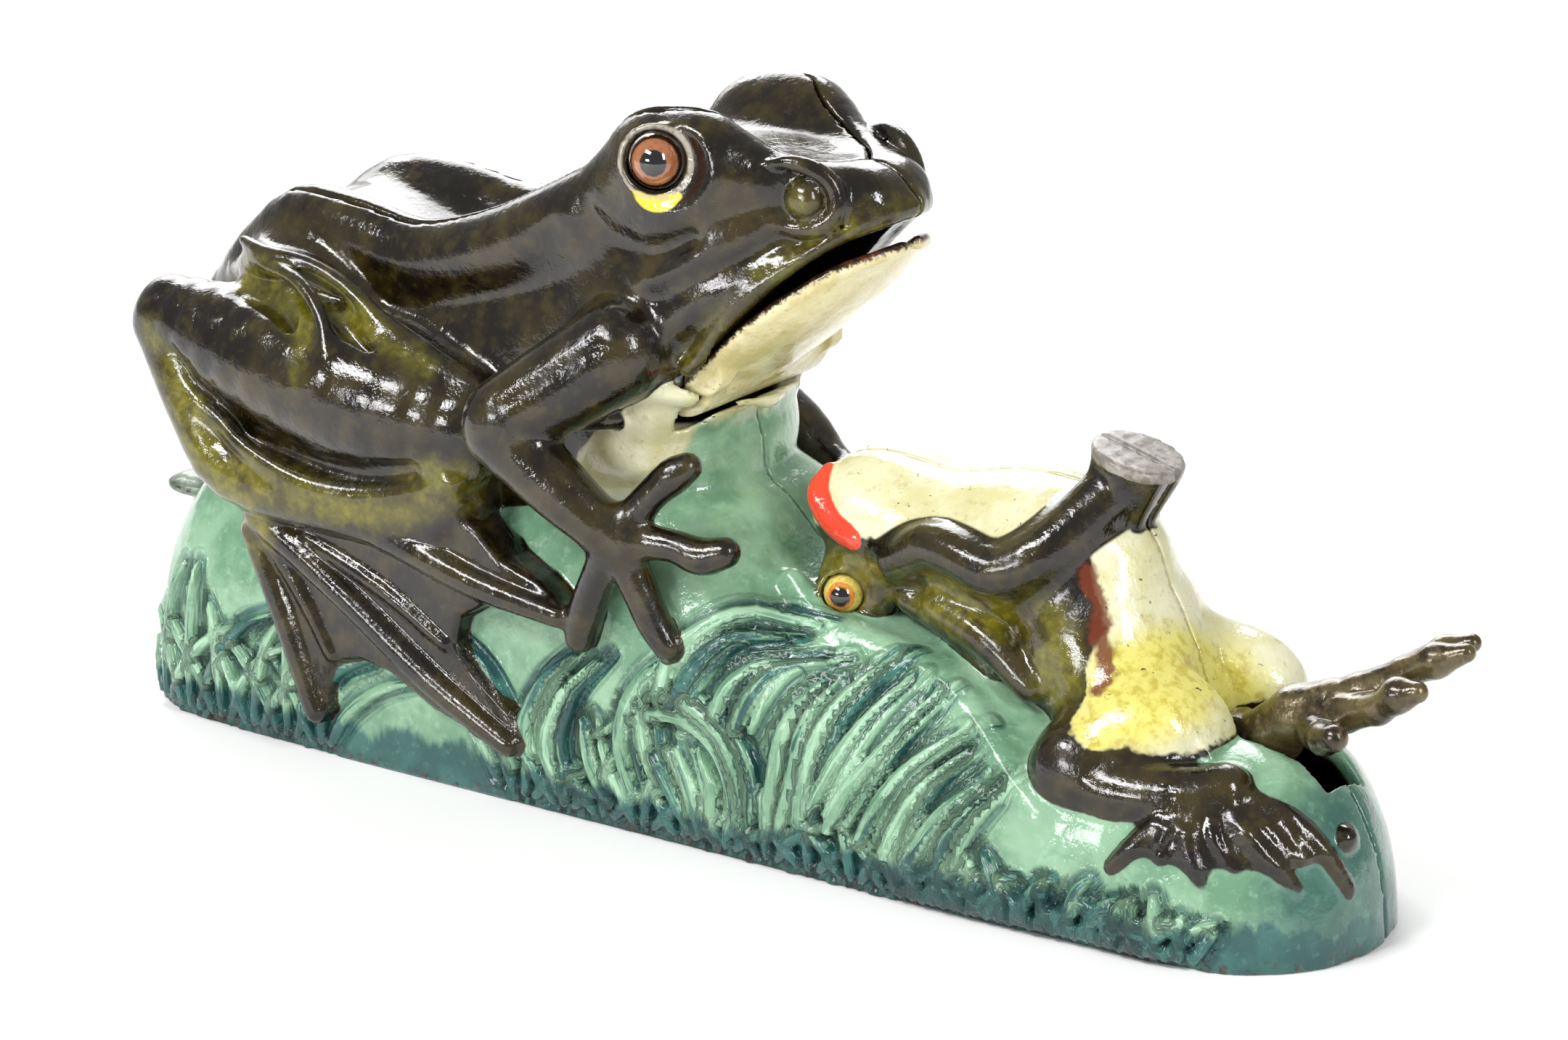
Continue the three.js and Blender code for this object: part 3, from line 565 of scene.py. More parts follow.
# The long leaves on the near side: (x, climb) from root to tip.
LEAVES = [
    [(-17, 3), (-20, 10), (-18, 17), (-12, 24)],
    [(-21, 4), (-24, 11), (-21, 19), (-16, 24)],
    [(13, 4), (12, 11), (8, 17), (2, 19), (-5, 17), (-12, 13)],
    [(14, 8), (13, 13), (8, 19), (1, 21.5), (-7, 19)],
    [(5, 3), (2, 8), (-2, 13), (-6, 15)],
    [(7, 3), (5, 9), (2, 14)],
    [(9, 3), (9, 9), (6, 15)],
    [(-1, 21), (1, 27), (5, 32), (12, 36), (19, 36)],
    [(1, 19), (4, 25), (9, 31), (16, 33)],
    [(8, 18), (10, 24), (14, 28), (20, 30)],
    [(12, 19), (14, 24), (17, 28), (24, 31)],
    [(18, 6), (19, 14), (20, 21), (24, 28)],
    [(20, 6), (22, 13), (23, 20), (28, 28)],
    [(23, 8), (24, 14), (26, 22), (31, 31), (33, 34)],
    [(25, 10), (28, 16), (31, 22), (36, 31)],
    [(28, 8), (32, 15), (36, 21), (41, 30)],
    [(33, 7), (36, 13), (40, 19), (47, 26)],
    [(37, 5), (39, 10), (42, 16), (48, 23)],
    [(40, 4), (43, 9), (46, 14), (52, 20)],
    [(46, 4), (47, 10), (50, 15), (54, 20)],
    [(-26, 6), (-29, 13), (-34, 19), (-42, 23)],
    [(-29, 4), (-33, 11), (-39, 16)],
    [(-5, 6), (-7, 13), (-6, 19), (-2, 25), (3, 28)],
    [(-9, 4), (-12, 9), (-14, 15)],
    [(-1, 9), (-3, 15), (-4, 21)],
]


def leaf(points, side, width):
    """A ridge along a curve on the mound's skin, thick in the middle and thin at the tip."""
    xs, climbs = (np.array(column, float) for column in zip(*points))
    knots = np.linspace(0, 1, len(points))
    steps = np.linspace(0, 1, 3 * len(points))
    line = []
    for t in steps:
        x, y, z = on_mound(float(through(knots, xs, t)), float(through(knots, climbs, t)), side)
        radius = width * (0.4 + 0.6 * math.sin(math.pi * min(1, 0.2 + 0.8 * t)))
        line.append((x, y + 0.25 * radius * side, z, radius))
    return chain(line)


def tuft(x, climb, height, lean, draw):
    """A fan of three blades from one root."""
    blades = []
    for share in (-1, 0, 1):
        tip = lean + share * 0.5 * height + draw.uniform(-1, 1)
        tall = height * (1 - 0.3 * abs(share)) * draw.uniform(0.85, 1.1)
        knots = ((1.8, 0, 0), (2.6, 0.2, 0.4), (3.0, 0.75, 0.85), (3.2, 1.2, 1))
        blades.append([(x + share * out + tip * sway, climb + rise * tall) for out, sway, rise in knots])
    return blades


def grass():
    """Every blade, as (limbs, how dark it is painted, side)."""
    draw = np.random.default_rng(7)
    blades = []
    strands = ((0, 1.35), (2.5, 0.9))
    for side in SIDES:
        for points in LEAVES:
            for shift, width in strands:
                moved = [
                    (x + shift + (0 if side == NEAR else 4), climb + 0.5 * shift * i / (len(points) - 1))
                    for i, (x, climb) in enumerate(points)
                ]
                blades.append((leaf(moved, side, width), draw.uniform(0, 1), side))
    roots = [(x, 1.5, draw.uniform(5, 9)) for x in np.arange(42, 84, 3.4)]
    roots += [(x, 2.0, draw.uniform(6, 10)) for x in np.arange(-24, 44, 7)]
    roots += [(x, 2.0, draw.uniform(16, 26)) for x in np.arange(-94, -60, 6.5)]
    for x, climb, height in roots:
        for side in SIDES:
            for points in tuft(x, climb, height, draw.uniform(-2, 4), draw):
                blades.append((leaf(points, side, 1.05), draw.uniform(0, 1), side))
    return blades


def brush(part, side, x, y, z):
    """How far along and across a blade's limb each point lies."""
    start, along, length = part.line
    along = Vector(along) / length
    across = along.cross(Vector((0, side, 0.5))).normalized()
    px, py, pz = x - start[0], y - start[1], z - start[2]
    return px * along.x + py * along.y + pz * along.z, px * across.x + py * across.y + pz * across.z


def border():
    """The rounded rim that the mound makes along the small frog."""
    return [
        flow([(13, 12.6, 37.5, 1.6), (19, 13.6, 33.2, 2), (26, 14.4, 31.4, 2.1), (33, 14.8, 30.4, 2.1),
              (41, 16.2, 28.6, 2.1), (48, 18.6, 25.0, 2), (54, 21.2, 20.4, 1.9), (60, 23.2, 16, 1.5)], side)
        for side in SIDES
    ]


def chest():
    """The large frog's chest grows out of the mound, and its collar is open for the jaw."""
    rim = [(-8, 18.5, 62.6, 0.7), (-5, 17.8, 62.6, 1.0), (-2, 15.5, 62, 1.2), (1.2, 9, 60.6, 1.2),
           (2, 3, 59.6, 1.1)]
    return [ellipsoid((-18, 0, 49.5), (16.5, 17.6, 17.5)), barrel(-11.5, 13.6, 18.9, 50, 63.2, 1.2),
            ellipsoid((-14, 0, 50), (13.5, 18.2, 9)), flow(rim + [(2, -3, 59.6, 1.1)]), flow(rim, -1)]


def chest_fold(side):
    """A shallow fold between the arm and the seam."""
    return flow([(-15.5, 19.4, 60, 0.3), (-12, 20.4, 54, 0.7), (-11, 20.2, 48, 0.4)], side)


# ---- The large frog ----
def trunk_level(x, y, z):
    top, bottom, width = (through(TRUNK[0], TRUNK[i], x).astype(np.float32) for i in (1, 2, 3))
    across = np.abs(y / width)
    up = np.abs((z - (top + bottom) / 2) / ((top - bottom) / 2))
    return (across**2.5 + up**2.5) ** 0.4


def in_mouth(x, z, opened=0.0):
    """A point in the closed mouth's frame: x from the pivot along the lip, z out of it."""
    slope = math.radians(MOUTH_SLOPE - opened)
    return (
        JAW_PIVOT[0] + x * math.cos(slope) - z * math.sin(slope),
        JAW_PIVOT[1] + x * math.sin(slope) + z * math.cos(slope),
    )


def mouth_axes(x, z, opened=0.0):
    """How far along the mouth from the pivot, and how far over its line, points lie."""
    slope = math.radians(MOUTH_SLOPE - opened)
    px, pz = x - JAW_PIVOT[0], z - JAW_PIVOT[1]
    return px * math.cos(slope) + pz * math.sin(slope), pz * math.cos(slope) - px * math.sin(slope)


def mouth_gap():
    """Everything in front of the mouth's corner and under the upper lip's edge."""

    def distance(x, y, z):
        along, up = mouth_axes(x, z)
        return np.maximum(3.4 - along, up - through(*UPPER_EDGE, along))

    return Shape(distance, (-8, -40, 0), (60, 40, 110))


def eye_name(side, big):
    return ("large" if big else "small") + "_frog_" + ("right" if side < 0 else "left") + "_eye"


def eye_frame(side, big=True):
    """An eye's centre, where it looks, its two axes across and its radius."""
    low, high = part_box(eye_name(side, big))
    centre = (low + high) / 2 / MM
    look = Vector((0.5, side, 0.12)) if big else Vector((0.4, side, 0.1))
    look.normalize()
    up = (Vector((0, 0, 1)) - look * look.z).normalized()
    return centre, look, look.cross(up), up, (high - low).z / 2 / MM


def eye_ring(side, big, r, tube, out):
    """A ring around an eye, that far out along its look."""
    centre, look, *_ = eye_frame(side, big)
    return ring(centre + look * out, look, r, tube)


def arm(side):
    """The upper arm, forearm, hand and fingers; the left arm is bent lower than the right one."""
    drop = 5 if side > 0 else 0
    shoulder = (-11, 20 * side, 68, 7.3) if side < 0 else (-14, 19 * side, 66, 6.6)
    elbow = (-23.5, 29 * side, 58.5 - drop, 6)
    palm = (-6.8, 26.6, 43.4 - drop)
    upper = together(chain([shoulder, elbow]))
    lower = flow([(-24.5, 29.5, 56.5 - 1.6 * drop, 5.2), (-15, 28.6, 49.5 - drop, 4.5),
                  (-9.4, 27.8, 45.4 - drop, 3.8)], side)
    hand = ellipsoid((palm[0], palm[1] * side, palm[2]), (5.2, 3.4, 4.8))
    tips = [
        [(-2.4, 25, 49.6 - 1.8 * drop, 2.3), (0.6, 23.6, 52.8 - 2.5 * drop, 2.6),
         (2.4, 22.6, 54.2 - 2.5 * drop, 2.1)],
        [(1.5, 25.4, 43.6 - 0.6 * drop, 2.3), (6, 24.6, 42.6, 2.7), (9.6, 23.8, 43.6, 2.2)],
        [(-3.4, 26.2, 37 - 0.6 * drop, 2.6), (-1.2, 25.6, 32, 2.5), (1.0, 25.2, 28.8, 2.2)],
        [(-10.4, 26.6, 36 - 0.6 * drop, 2.6), (-12.6, 26.2, 31, 2.7),
         (-13.6, 26, 27.6, 2.3)],
    ]
    fingers = [flow([(*palm, 3.0), *finger], side) for finger in tips]
    return upper, lower, hand, fingers


def hind_leg(side):
    """The thigh, what folds against it, and the raised lines that draw the hip."""
    thigh = flow([(-88, 24.6, 62.5, 5.4), (-76, 23.8, 59.4, 8.4), (-62, 22.6, 56.6, 10.8),
                  (-50, 21.8, 54.6, 11), (-38, 20.2, 53, 8.8)], side)
    hip = ellipsoid((-68, 16.5 * side, 65.5), (13, 7.5, 8.8), lean=22)
    calf = flow([(-89.4, 25.4, 60.4, 4.3), (-80.5, 28.2, 49, 4.3), (-73, 28.6, 42, 4.8),
                 (-56, 26.6, 40.4, 5.4), (-37, 22.8, 40.6, 5.4)], side)
    low, high = sorted((17 * side, 28.6 * side))
    fold = [(-88, 60), (-80, 49), (-73, 39), (-37, 37), (-33, 47), (-46, 56), (-70, 62)]
    fill = plate(fold, low, high, 2.5)
    crease = flow([(-86, 28.2, 59.6, 0.9), (-81, 30.4, 53.6, 1.1), (-74.7, 30.4, 49.6, 1.2),
                   (-68.5, 31.4, 46.4, 1.3), (-58.3, 30.8, 43, 1.3), (-48.2, 29.2, 42.8, 1.3),
                   (-38.9, 27.4, 45, 1.2), (-33, 24.4, 47.4, 0.9)], side)
    crescent_line = flow([(-84, 15.2, 67.2, 0.7), (-77, 20.4, 71, 0.9), (-70.5, 23.8, 71.6, 1),
                          (-64.5, 25.6, 71.4, 1.1), (-60, 27, 69.4, 1.1), (-56.5, 28.6, 66, 1.1),
                          (-54.6, 30.6, 61.4, 1), (-56.9, 32.2, 57.9, 0.6)], side)
    flank = flow([(-78, 20.4, 73.8, 0.7), (-71.8, 22.8, 73.4, 1.0), (-64.7, 22.2, 72.6, 1.2),
                  (-58.4, 22, 70.4, 1.3), (-49.6, 23, 66, 1.3), (-42.3, 23, 63, 1.2),
                  (-34.1, 22.8, 59.6, 0.9)], side)
    return thigh, hip, calf, fill, crease, crescent_line, flank


FOOT = [(-76.4, 39.1), (-69.1, 22.9), (-64.5, 12.6), (-61.8, 6.7), (-59.8, 5.6), (-58.4, 7.3), (-58.8, 12.1),
        (-57.4, 15.2), (-52.7, 16.6), (-46.9, 15.6), (-39.4, 11.7), (-31.8, 9.6), (-25, 7.9), (-23, 9.6),
        (-25, 14), (-31.7, 19), (-34.9, 22.8), (-34, 26.6), (-30, 29), (-24, 29.4), (-15.2, 29.2),
        (-14, 31.2), (-20.2, 34.6), (-26.6, 36.5), (-31, 40.4), (-36, 43), (-70, 44)]


def hind_foot(side):
    """Skin with hollow edges between toes that stand out from it."""
    y = 27.6 * side
    toes = [
        [(-71, 38, 2.6), (-60, 38.2, 2.6), (-49, 37.4, 2.5), (-31, 32.6, 2.2), (-16.4, 30.5, 1.7)],
        [(-70, 35.6, 2.4), (-54.3, 26.2, 2.2), (-39.2, 16.6, 2.2), (-25.4, 9.6, 1.8)],
        [(-71.5, 33, 1.9), (-66, 21, 1.9), (-60.6, 7.2, 1.6)],
        [(-69, 33, 1.2), (-62, 24, 1.1), (-57.6, 16.6, 0.8)],
        [(-62, 33.6, 0.9), (-48, 28.6, 1.1), (-36.6, 22.4, 0.8)],
    ]
    limbs = [flow([(x, y, z, r) for x, z, r in toe]) for toe in toes]
    low, high = sorted((20 * side, 27.4 * side))
    return limbs, plate(FOOT, low, high, 1.4)


def dome(side):
    """The bulge that carries the eye, and the brow that runs from it to the snout."""
    return [
        ellipsoid((-6.2, 12.2 * side, 91.6), (12.2, 8.0, 10.4)),
        flow([(-1, 12.6, 95.4, 5.2), (6, 10.6, 93.2, 4), (13, 7.6, 92, 3), (19, 4.4, 91.2, 2.4)], side),
    ]


UPPER_LIP = [  # along the mouth, half width, above the lip's edge
    (4.4, 16.8, 0.8), (6.5, 16.8, 0.7), (9, 16.6, 0.9), (14, 16, 1.1), (21, 14.4, 1.1), (28, 11.8, 1.0),
    (33, 8.6, 1.0), (37, 4, 0.9), (38.4, 0, 0.8),
]


def upper_lip(side):
    """A roll along the upper lip's edge."""
    points = []
    for along, across, up in UPPER_LIP:
        x, z = in_mouth(along, up + float(through(*UPPER_EDGE, along)))
        points.append((x, across, z, 1.5))
    return flow(points, side)


def cheek_rolls(side):
    """Two soft rolls from the snout down to the mouth's corner."""
    return [
        flow([(9, 12.6, 87.4, 0.8), (4, 14.6, 84.6, 2.2), (-2, 16.4, 81.4, 2.6),
              (-8.4, 17.8, 77.8, 1.0)], side),
        flow([(11, 12.2, 82.6, 0.6), (4.4, 15.2, 78.4, 1.8), (-1.4, 16.6, 74.6, 2.2),
              (-5.4, 17.6, 71.2, 0.8)], side),
    ]


def nostril(side):
    """The raised rim around a nostril, open to the rear, and the bump in it."""
    rim = flow([(9.0, 12.6, 95.8, 0.6), (12, 11.8, 96.2, 1.1), (15.4, 10.4, 95.2, 1.3),
                (17.8, 9.6, 92.9, 1.3), (18.2, 9.9, 89.8, 1.3), (16.2, 10.8, 87.8, 1.3),
                (13.2, 11.6, 87.0, 1.1), (10.4, 12.6, 87.6, 0.6)], side)
    return rim, ellipsoid((13.8, 11.0 * side, 91.2), (2.9, 2.3, 2.8))


def large_frog(field):
    field.join_level(trunk_level, TRUNK[0], 4)
    field.join(ellipsoid((17, 0, 89.2), (7.6, 8.6, 5.6)), 3)
    for side in SIDES:
        # the ridges along the back, with the hips' humps
        field.join(flow([(-89, 8.5, 60.6, 4.8), (-81.5, 10.2, 68.8, 5.2), (-73.5, 11.2, 75.2, 5.4),
                         (-63.5, 11.8, 75.2, 5.6), (-51, 12.2, 73.4, 5.8), (-38, 12.6, 76.8, 5.8),
                         (-26, 12.8, 82.2, 6), (-17, 12.6, 87.2, 6)], side), 4)
        for part in dome(side):
            field.join(part, 4)
    # the dip along the back, and the one between the eyes
    field.cut(flow([(-70, 0, 89.5, 7.6), (-60, 0, 86.6, 8.4), (-50, 0, 84.2, 8.8), (-36, 0, 87.6, 8.8)]), 6)
    field.cut(flow([(-12, 0, 109, 10.6), (2, 0, 107, 9.4), (12, 0, 102, 5)]), 5)
    field.cut(mouth_gap(), 0.8)
    for side in SIDES:
        field.join(ellipsoid((-7.5, 14.4 * side, 67.4), (4.6, 3.6, 4.0)), 2)
        field.join(upper_lip(side), 1.2)
        # the groove over the lip
        field.cut(flow([(2, 18.2, 74, 0.4), (8, 16.6, 80, 0.7), (14, 12.8, 85, 0.6),
                        (18.5, 9, 87.6, 0.3)], side), 2)
        thigh, hip, calf, fill, crease, crescent_line, flank = hind_leg(side)
        field.join(hip, 3)
        field.join(thigh, 2.5)
        field.join(fill, 1.5)
        field.join(calf, 2)
        # the fold between the thigh and the calf
        field.cut(flow([(-83, 30.6, 58, 0.6), (-77, 32.8, 52.4, 0.8), (-66, 33.6, 48, 0.9),
                        (-52, 32, 46, 0.9), (-41, 28.8, 47.6, 0.7)], side), 2.4)
        field.join(crease, 1.6)
        field.join(flank, 2.6)
        # the hollows inside the hip's raised lines
        field.cut(flow([(-74, 25.6, 68.4, 0.4), (-66, 26.6, 66.4, 0.8),
                        (-60.6, 28.6, 62.6, 0.5)], side), 2.6)
        field.cut(flow([(-57, 25.6, 66.6, 0.5), (-50, 26.4, 62.6, 0.8), (-42, 25.6, 59.4, 0.6)], side), 2.6)
        field.join(crescent_line, 1.8)
        field.join(arm(side)[0], 3)
        for roll in cheek_rolls(side):
            field.join(roll, 3)
        # the crease around the eye's bulge, and the one in front of the shoulder
        field.cut(flow([(-17.6, 19.6, 92.4, 0.6), (-17.8, 19.8, 87, 1.1), (-14, 20, 83.4, 1.3),
                        (-9.9, 19.8, 82, 1.3), (-5.2, 19.4, 82.2, 1.1), (0, 18.2, 85, 0.6)], side), 2.6)
        field.cut(flow([(-23.5, 19.8, 83, 0.6), (-26, 20.4, 77.5, 1.3), (-26.4, 20.6, 71, 1.0)], side), 2.8)
        rim, bump = nostril(side)
        field.cut(ball(13.8, 13.2 * side, 91.6, 3.2), 1.0)
        field.join(rim, 0.9)
        field.join(bump, 0.6)
        centre, look, *_ = eye_frame(side)
        field.cut(ball(*(centre + look * 9.6), 9), 0.8)
        field.join(eye_ring(side, True, 4.75, 0.65, 1.9), 0.5)
    for side in SIDES:
        _, lower, hand, fingers = arm(side)
        field.join(lower, 1.6)
        field.join(hand, 1.8)
        field.join(fingers, 1.0)
        limbs, skin = hind_foot(side)
        field.join(skin, 0.8)
        field.join(limbs, 1.0)
    # a ridge from the right elbow to the chest
    field.join(limb((-22, -28, 57), (-12.5, -18.5, 57.5), 1.2, 1.4), 0.8)
    return field


# ---- The small frog ----
def rest_axis():
    """Square to the coin rest's face."""
    lean = math.radians(COIN_REST["tilt"])
    return Vector((math.sin(lean), 0, math.cos(lean)))


def stalk():
    """The cone that the hands hold up, with ridges that flare out under the coin."""
    seat = Vector((COIN_REST["x"], 0, COIN_REST["z"]))
    neck = seat - rest_axis() * 9.6
    parts = [cone(neck, seat - rest_axis() * 0.7, 3.6, 6.0)]
    for i in range(RIDGES):
        turn = math.radians(360 / RIDGES * i + 20)
        across = Vector((math.cos(turn) * rest_axis().z, math.sin(turn), -math.cos(turn) * rest_axis().x))
        parts.append(limb(neck + across * 3.2, seat - rest_axis() * 1.5 + across * 5.2, 0.8, 1.0))
    return parts


def small_arm(side):
    """From the shoulder down, then up to the coin rest, widening as it goes."""
    return flow([(29, 11, 43, 3.0), (35, 12, 46.2, 3.3), (40, 12.8, 46.2, 3.3), (46.7, 13, 45, 3.6),
                 (52, 10.6, 47.8, 3.9), (55.6, 6.2, 52, 4.1), (58, 2.6, 55.4, 4.3)], side)


def small_frog(field):
    field.join(ellipsoid((27, 0, 44.5), (16.5, 12.5, 9.2), lean=3), 1)
    field.join(ellipsoid((19.6, 0, 47.4), (9, 10.8, 6.4)), 3)
    field.join(ellipsoid((45, 0, 44), (20, 13.4, 11.8), lean=-4), 2.5)
    field.join(ellipsoid((57.4, 0, 33.5), (12.4, 14.6, 15.5), lean=-22), 2.5)
    field.join(ellipsoid((68, -7, 27), (12, 11, 8.2), lean=12), 5)
    field.join(ellipsoid((69, 10.5, 27.6), (12, 7.5, 8)), 5)
    for side in SIDES:
        field.join(ellipsoid((21.4, 8.6 * side, 37.2), (6.4, 4.0, 6)), 2.4)
        field.cut(flow([(30, 14.4, 40, 0.8), (38, 15.4, 40.4, 1), (46, 15.6, 39.4, 0.8)], side), 2)
        field.join(flow([(36, 11, 37.5, 2.4), (45, 12.6, 35, 2.6), (52.5, 13.6, 30, 2.2)], side), 1.8)
        field.join(flow([(30, 9.6, 37, 1.8), (38, 10.4, 34.6, 2.0), (46, 12, 31, 1.8)], side), 1.6)
        field.join(flow([(14.2, 5.4, 51.6, 1.1), (14.3, 8.8, 49.2, 1.4), (17.8, 10.6, 46.2, 1.4),
                         (22.6, 11.6, 44.6, 1.0)], side), 1.2)
        centre, look, *_ = eye_frame(side, False)
        field.cut(ball(*(centre + look * 6.4), 6), 0.6)
        field.join(eye_ring(side, False, 3.35, 0.5, 1.3), 0.5)
        field.join(small_arm(side), 1.8)
    field.join(stalk(), 1.2)
    # the right leg is folded, and its foot lies spread on the mound
    field.join(flow([(70, -11, 26.4, 6.2), (62.5, -16.8, 22.6, 6.4)]), 3)
    field.join(flow([(61.5, -18, 20.5, 5.0), (71, -18, 20.0, 4.9), (79, -16.4, 20.6, 4.4),
                     (83.4, -14.4, 22, 3.8)]), 2)
    ankle = (82.6, -15.0, 21.8)
    toes = [
        [(77.2, -21.4, 17.8), (74.4, -23.6, 14.6), (72.2, -24.2, 12)],
        [(81.6, -20.8, 17.2), (83.6, -21.8, 13.4), (85.0, -21.4, 10.4)],
        [(88.6, -17.6, 17.8), (92.4, -16.6, 14), (94.6, -15, 11.2)],
        [(92.2, -12, 19), (96.6, -10.4, 14.6), (99.2, -8.8, 9.8)],
    ]
    for joint, knuckle, tip in toes:
        field.join(flow([(*ankle, 2.6), (*joint, 1.5), (*knuckle, 1.4), (*tip, 1.0)]), 0.8)
    for (a, b, _), (c, d, _) in zip(toes, toes[1:]):
        middle = tuple((p + q) / 2 for p, q in zip(b, d))
        skins = [web(a, b, middle, 1.2), web(a, middle, c, 1.2), web(c, middle, d, 1.2)]
        field.join([web(ankle, a, c, 1.3), *skins], 1.2)
        ridge = tuple((p + q) / 2 for p, q in zip(a, c))
        field.join(flow([(*ankle, 1.2), (ridge[0], ridge[1] - 1.2, ridge[2] + 0.6, 0.8),
                         (middle[0], middle[1] - 0.8, middle[2] + 0.4, 0.5)]), 0.6)
    # the front screw's end stands out of the mound
    field.join(limb((96.2, -5.4, 15.4), (96.9, -6.2, 15.8), 2.0, 1.8), 0.5)
    return field


# ---- Rooms that the castings leave for what moves ----
def mouth_shape(distance, xs, half_width, zs, opened):
    """A shape whose box holds corners given in the mouth's frame."""
    xs, zs = zip(*[in_mouth(x, z, opened) for x in xs for z in zs])
    return Shape(distance, (min(xs), -half_width, min(zs)), (max(xs), half_width, max(zs)))


def jaw_bowl(grow, over, opened=0.0):
    """Half of an egg in the mouth's frame, up to that far over the jaw's edge."""
    rx, ry, rz = JAW_LENGTH + grow, JAW_HALF_WIDTH + grow, JAW_DEPTH + grow

    def distance(x, y, z):
        along, up = mouth_axes(x, z, opened)
        level = (np.abs(along) / rx) ** 3 + (y / ry) ** 2 + (up / rz) ** 2
        slope = np.sqrt((3 * along**2 / rx**3) ** 2 + (2 * y / ry**2) ** 2 + (2 * up / rz**2) ** 2)
        egg = (level - 1) / np.maximum(slope, 0.06)
        return np.maximum(egg, np.maximum(up - over - through(*JAW_EDGE, along), 1 - grow - along))

    return mouth_shape(distance, (-0.11 * rx, 1.1 * rx), ry, (-1.3 * rz, 1.3 * rz), opened)


def mouth_block(x0, x1, z0, z1, half_width, opened):
    """A block in the mouth's frame."""

    def distance(x, y, z):
        along, up = mouth_axes(x, z, opened)
        d = np.maximum(np.maximum(x0 - along, along - x1), np.maximum(z0 - up, up - z1))
        return np.maximum(d, np.abs(y) - half_width)

    return mouth_shape(distance, (x0, x1), half_width, (z0, z1), opened)


def jaw_room():
    """The room that the jaw and its ears sweep."""
    rooms = []
    for opened in (0, JAW_SWING / 3, 2 * JAW_SWING / 3, JAW_SWING):
        rooms += [jaw_bowl(0.8, 0.9, opened), mouth_block(-4.8, 4.6, -6.4, 3.4, 15.3, opened)]
    return rooms


def cover_prism(grow):
    """Everything above the cover's floor and inside its outline, grown by that much."""

    def distance(x, y, z):
        half = through(COVER[0], COVER[1], x) + grow
        ends = np.maximum(COVER[0][0] - grow - x, x - COVER[0][-1] - 1.4 * grow)
        return np.maximum(np.maximum(np.abs(y) - half, COVER_FLOOR - grow - z), ends)

    return Shape(distance, (-90, -16, COVER_FLOOR), (20, 16, 104))


LEG_SLOT = [(76, 20), (81, 14), (93, 14), (93, 60), (70.5, 60), (71, 34)]


def centre_of(node):
    """The middle and the size of a CAD node's box, in millimetres."""
    low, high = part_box(node)
    return (low + high) / 2 / MM, (high - low) / MM


def pin_place(node):
    """Where a pin crosses the middle plane, as (x, z)."""
    middle = centre_of(node)[0]
    return middle.x, middle.z


HALF_SCREWS = ("front_screw", "middle_screw", "rear_screw")


def screw_rooms():
    """The holes and countersinks of the four screws that enter from the left."""
    rooms = []
    for node in (*HALF_SCREWS, "back_screw"):
        middle, size = centre_of(node)
        head = middle.y + size.y / 2
        rooms.append(rod(pin_place(node), -18, 40, 1.8))
        rooms.append(rod(pin_place(node), head - 2.4, 45, 3.3, 3.4))
    return rooms


def screw_bosses():
    """The posts that the halves' screws pass through."""
    bosses = []
    for node in HALF_SCREWS:
        middle, size = centre_of(node)
        bosses.append(rod(pin_place(node), -17.6, middle.y + size.y / 2, 3.6))
    return bosses


# ---- What is painted where ----
def nearest(shapes, points):
    """The signed distance from points to the nearest shape."""
    x, y, z = points.T
    return np.min([shape.distance(x, y, z) for shape in shapes], axis=0)


def crescent(side):
    """A yellow stroke under the large frog's eye."""
    centre, look, across, up, _ = eye_frame(side)
    points = []
    for degrees in range(235, 318, 15):
        turn = math.radians(degrees)
        place = centre + look * 2.7 + (across * math.cos(turn) * -side + up * math.sin(turn)) * 5.7
        points.append((*place, 1.15 if 240 < degrees < 305 else 0.7))
    return flow(points)


def cream_places():
    """The small frog's belly and thighs."""
    return [
        ellipsoid((22, 0, 54), (18, 18, 12)),
        ellipsoid((44, 0, 57), (17, 19, 11.5)),
        ellipsoid((67, 0, 42), (9.5, 12.8, 18), lean=-22),
        ellipsoid((70, 0, 35), (12, 14, 8), lean=20),
        ellipsoid((72, -9, 34), (11, 14.5, 9.6), lean=14),
        ellipsoid((67.5, -19, 30.4), (5.5, 5, 4.2)),
        ellipsoid((76, 13.6, 33), (12, 10, 9)),
    ]


def chest_places():
    """The pale throat and collar of the large frog."""
    places = [ellipsoid((-2, 0, 62.6), (16, 24, 6.6), lean=-10)]
    for side in SIDES:
        places.append(ellipsoid((-12, 20 * side, 55), (12.5, 12, 9), lean=-32))
    return places


def yellow_places():
    return [
        ellipsoid((69, -8, 31.4), (9, 14, 8), lean=14),
        ellipsoid((71, 4, 30), (8, 10, 4), lean=20),
        ellipsoid((66, -20, 29), (5, 4, 4)),
        crescent(-1), crescent(1),
    ]


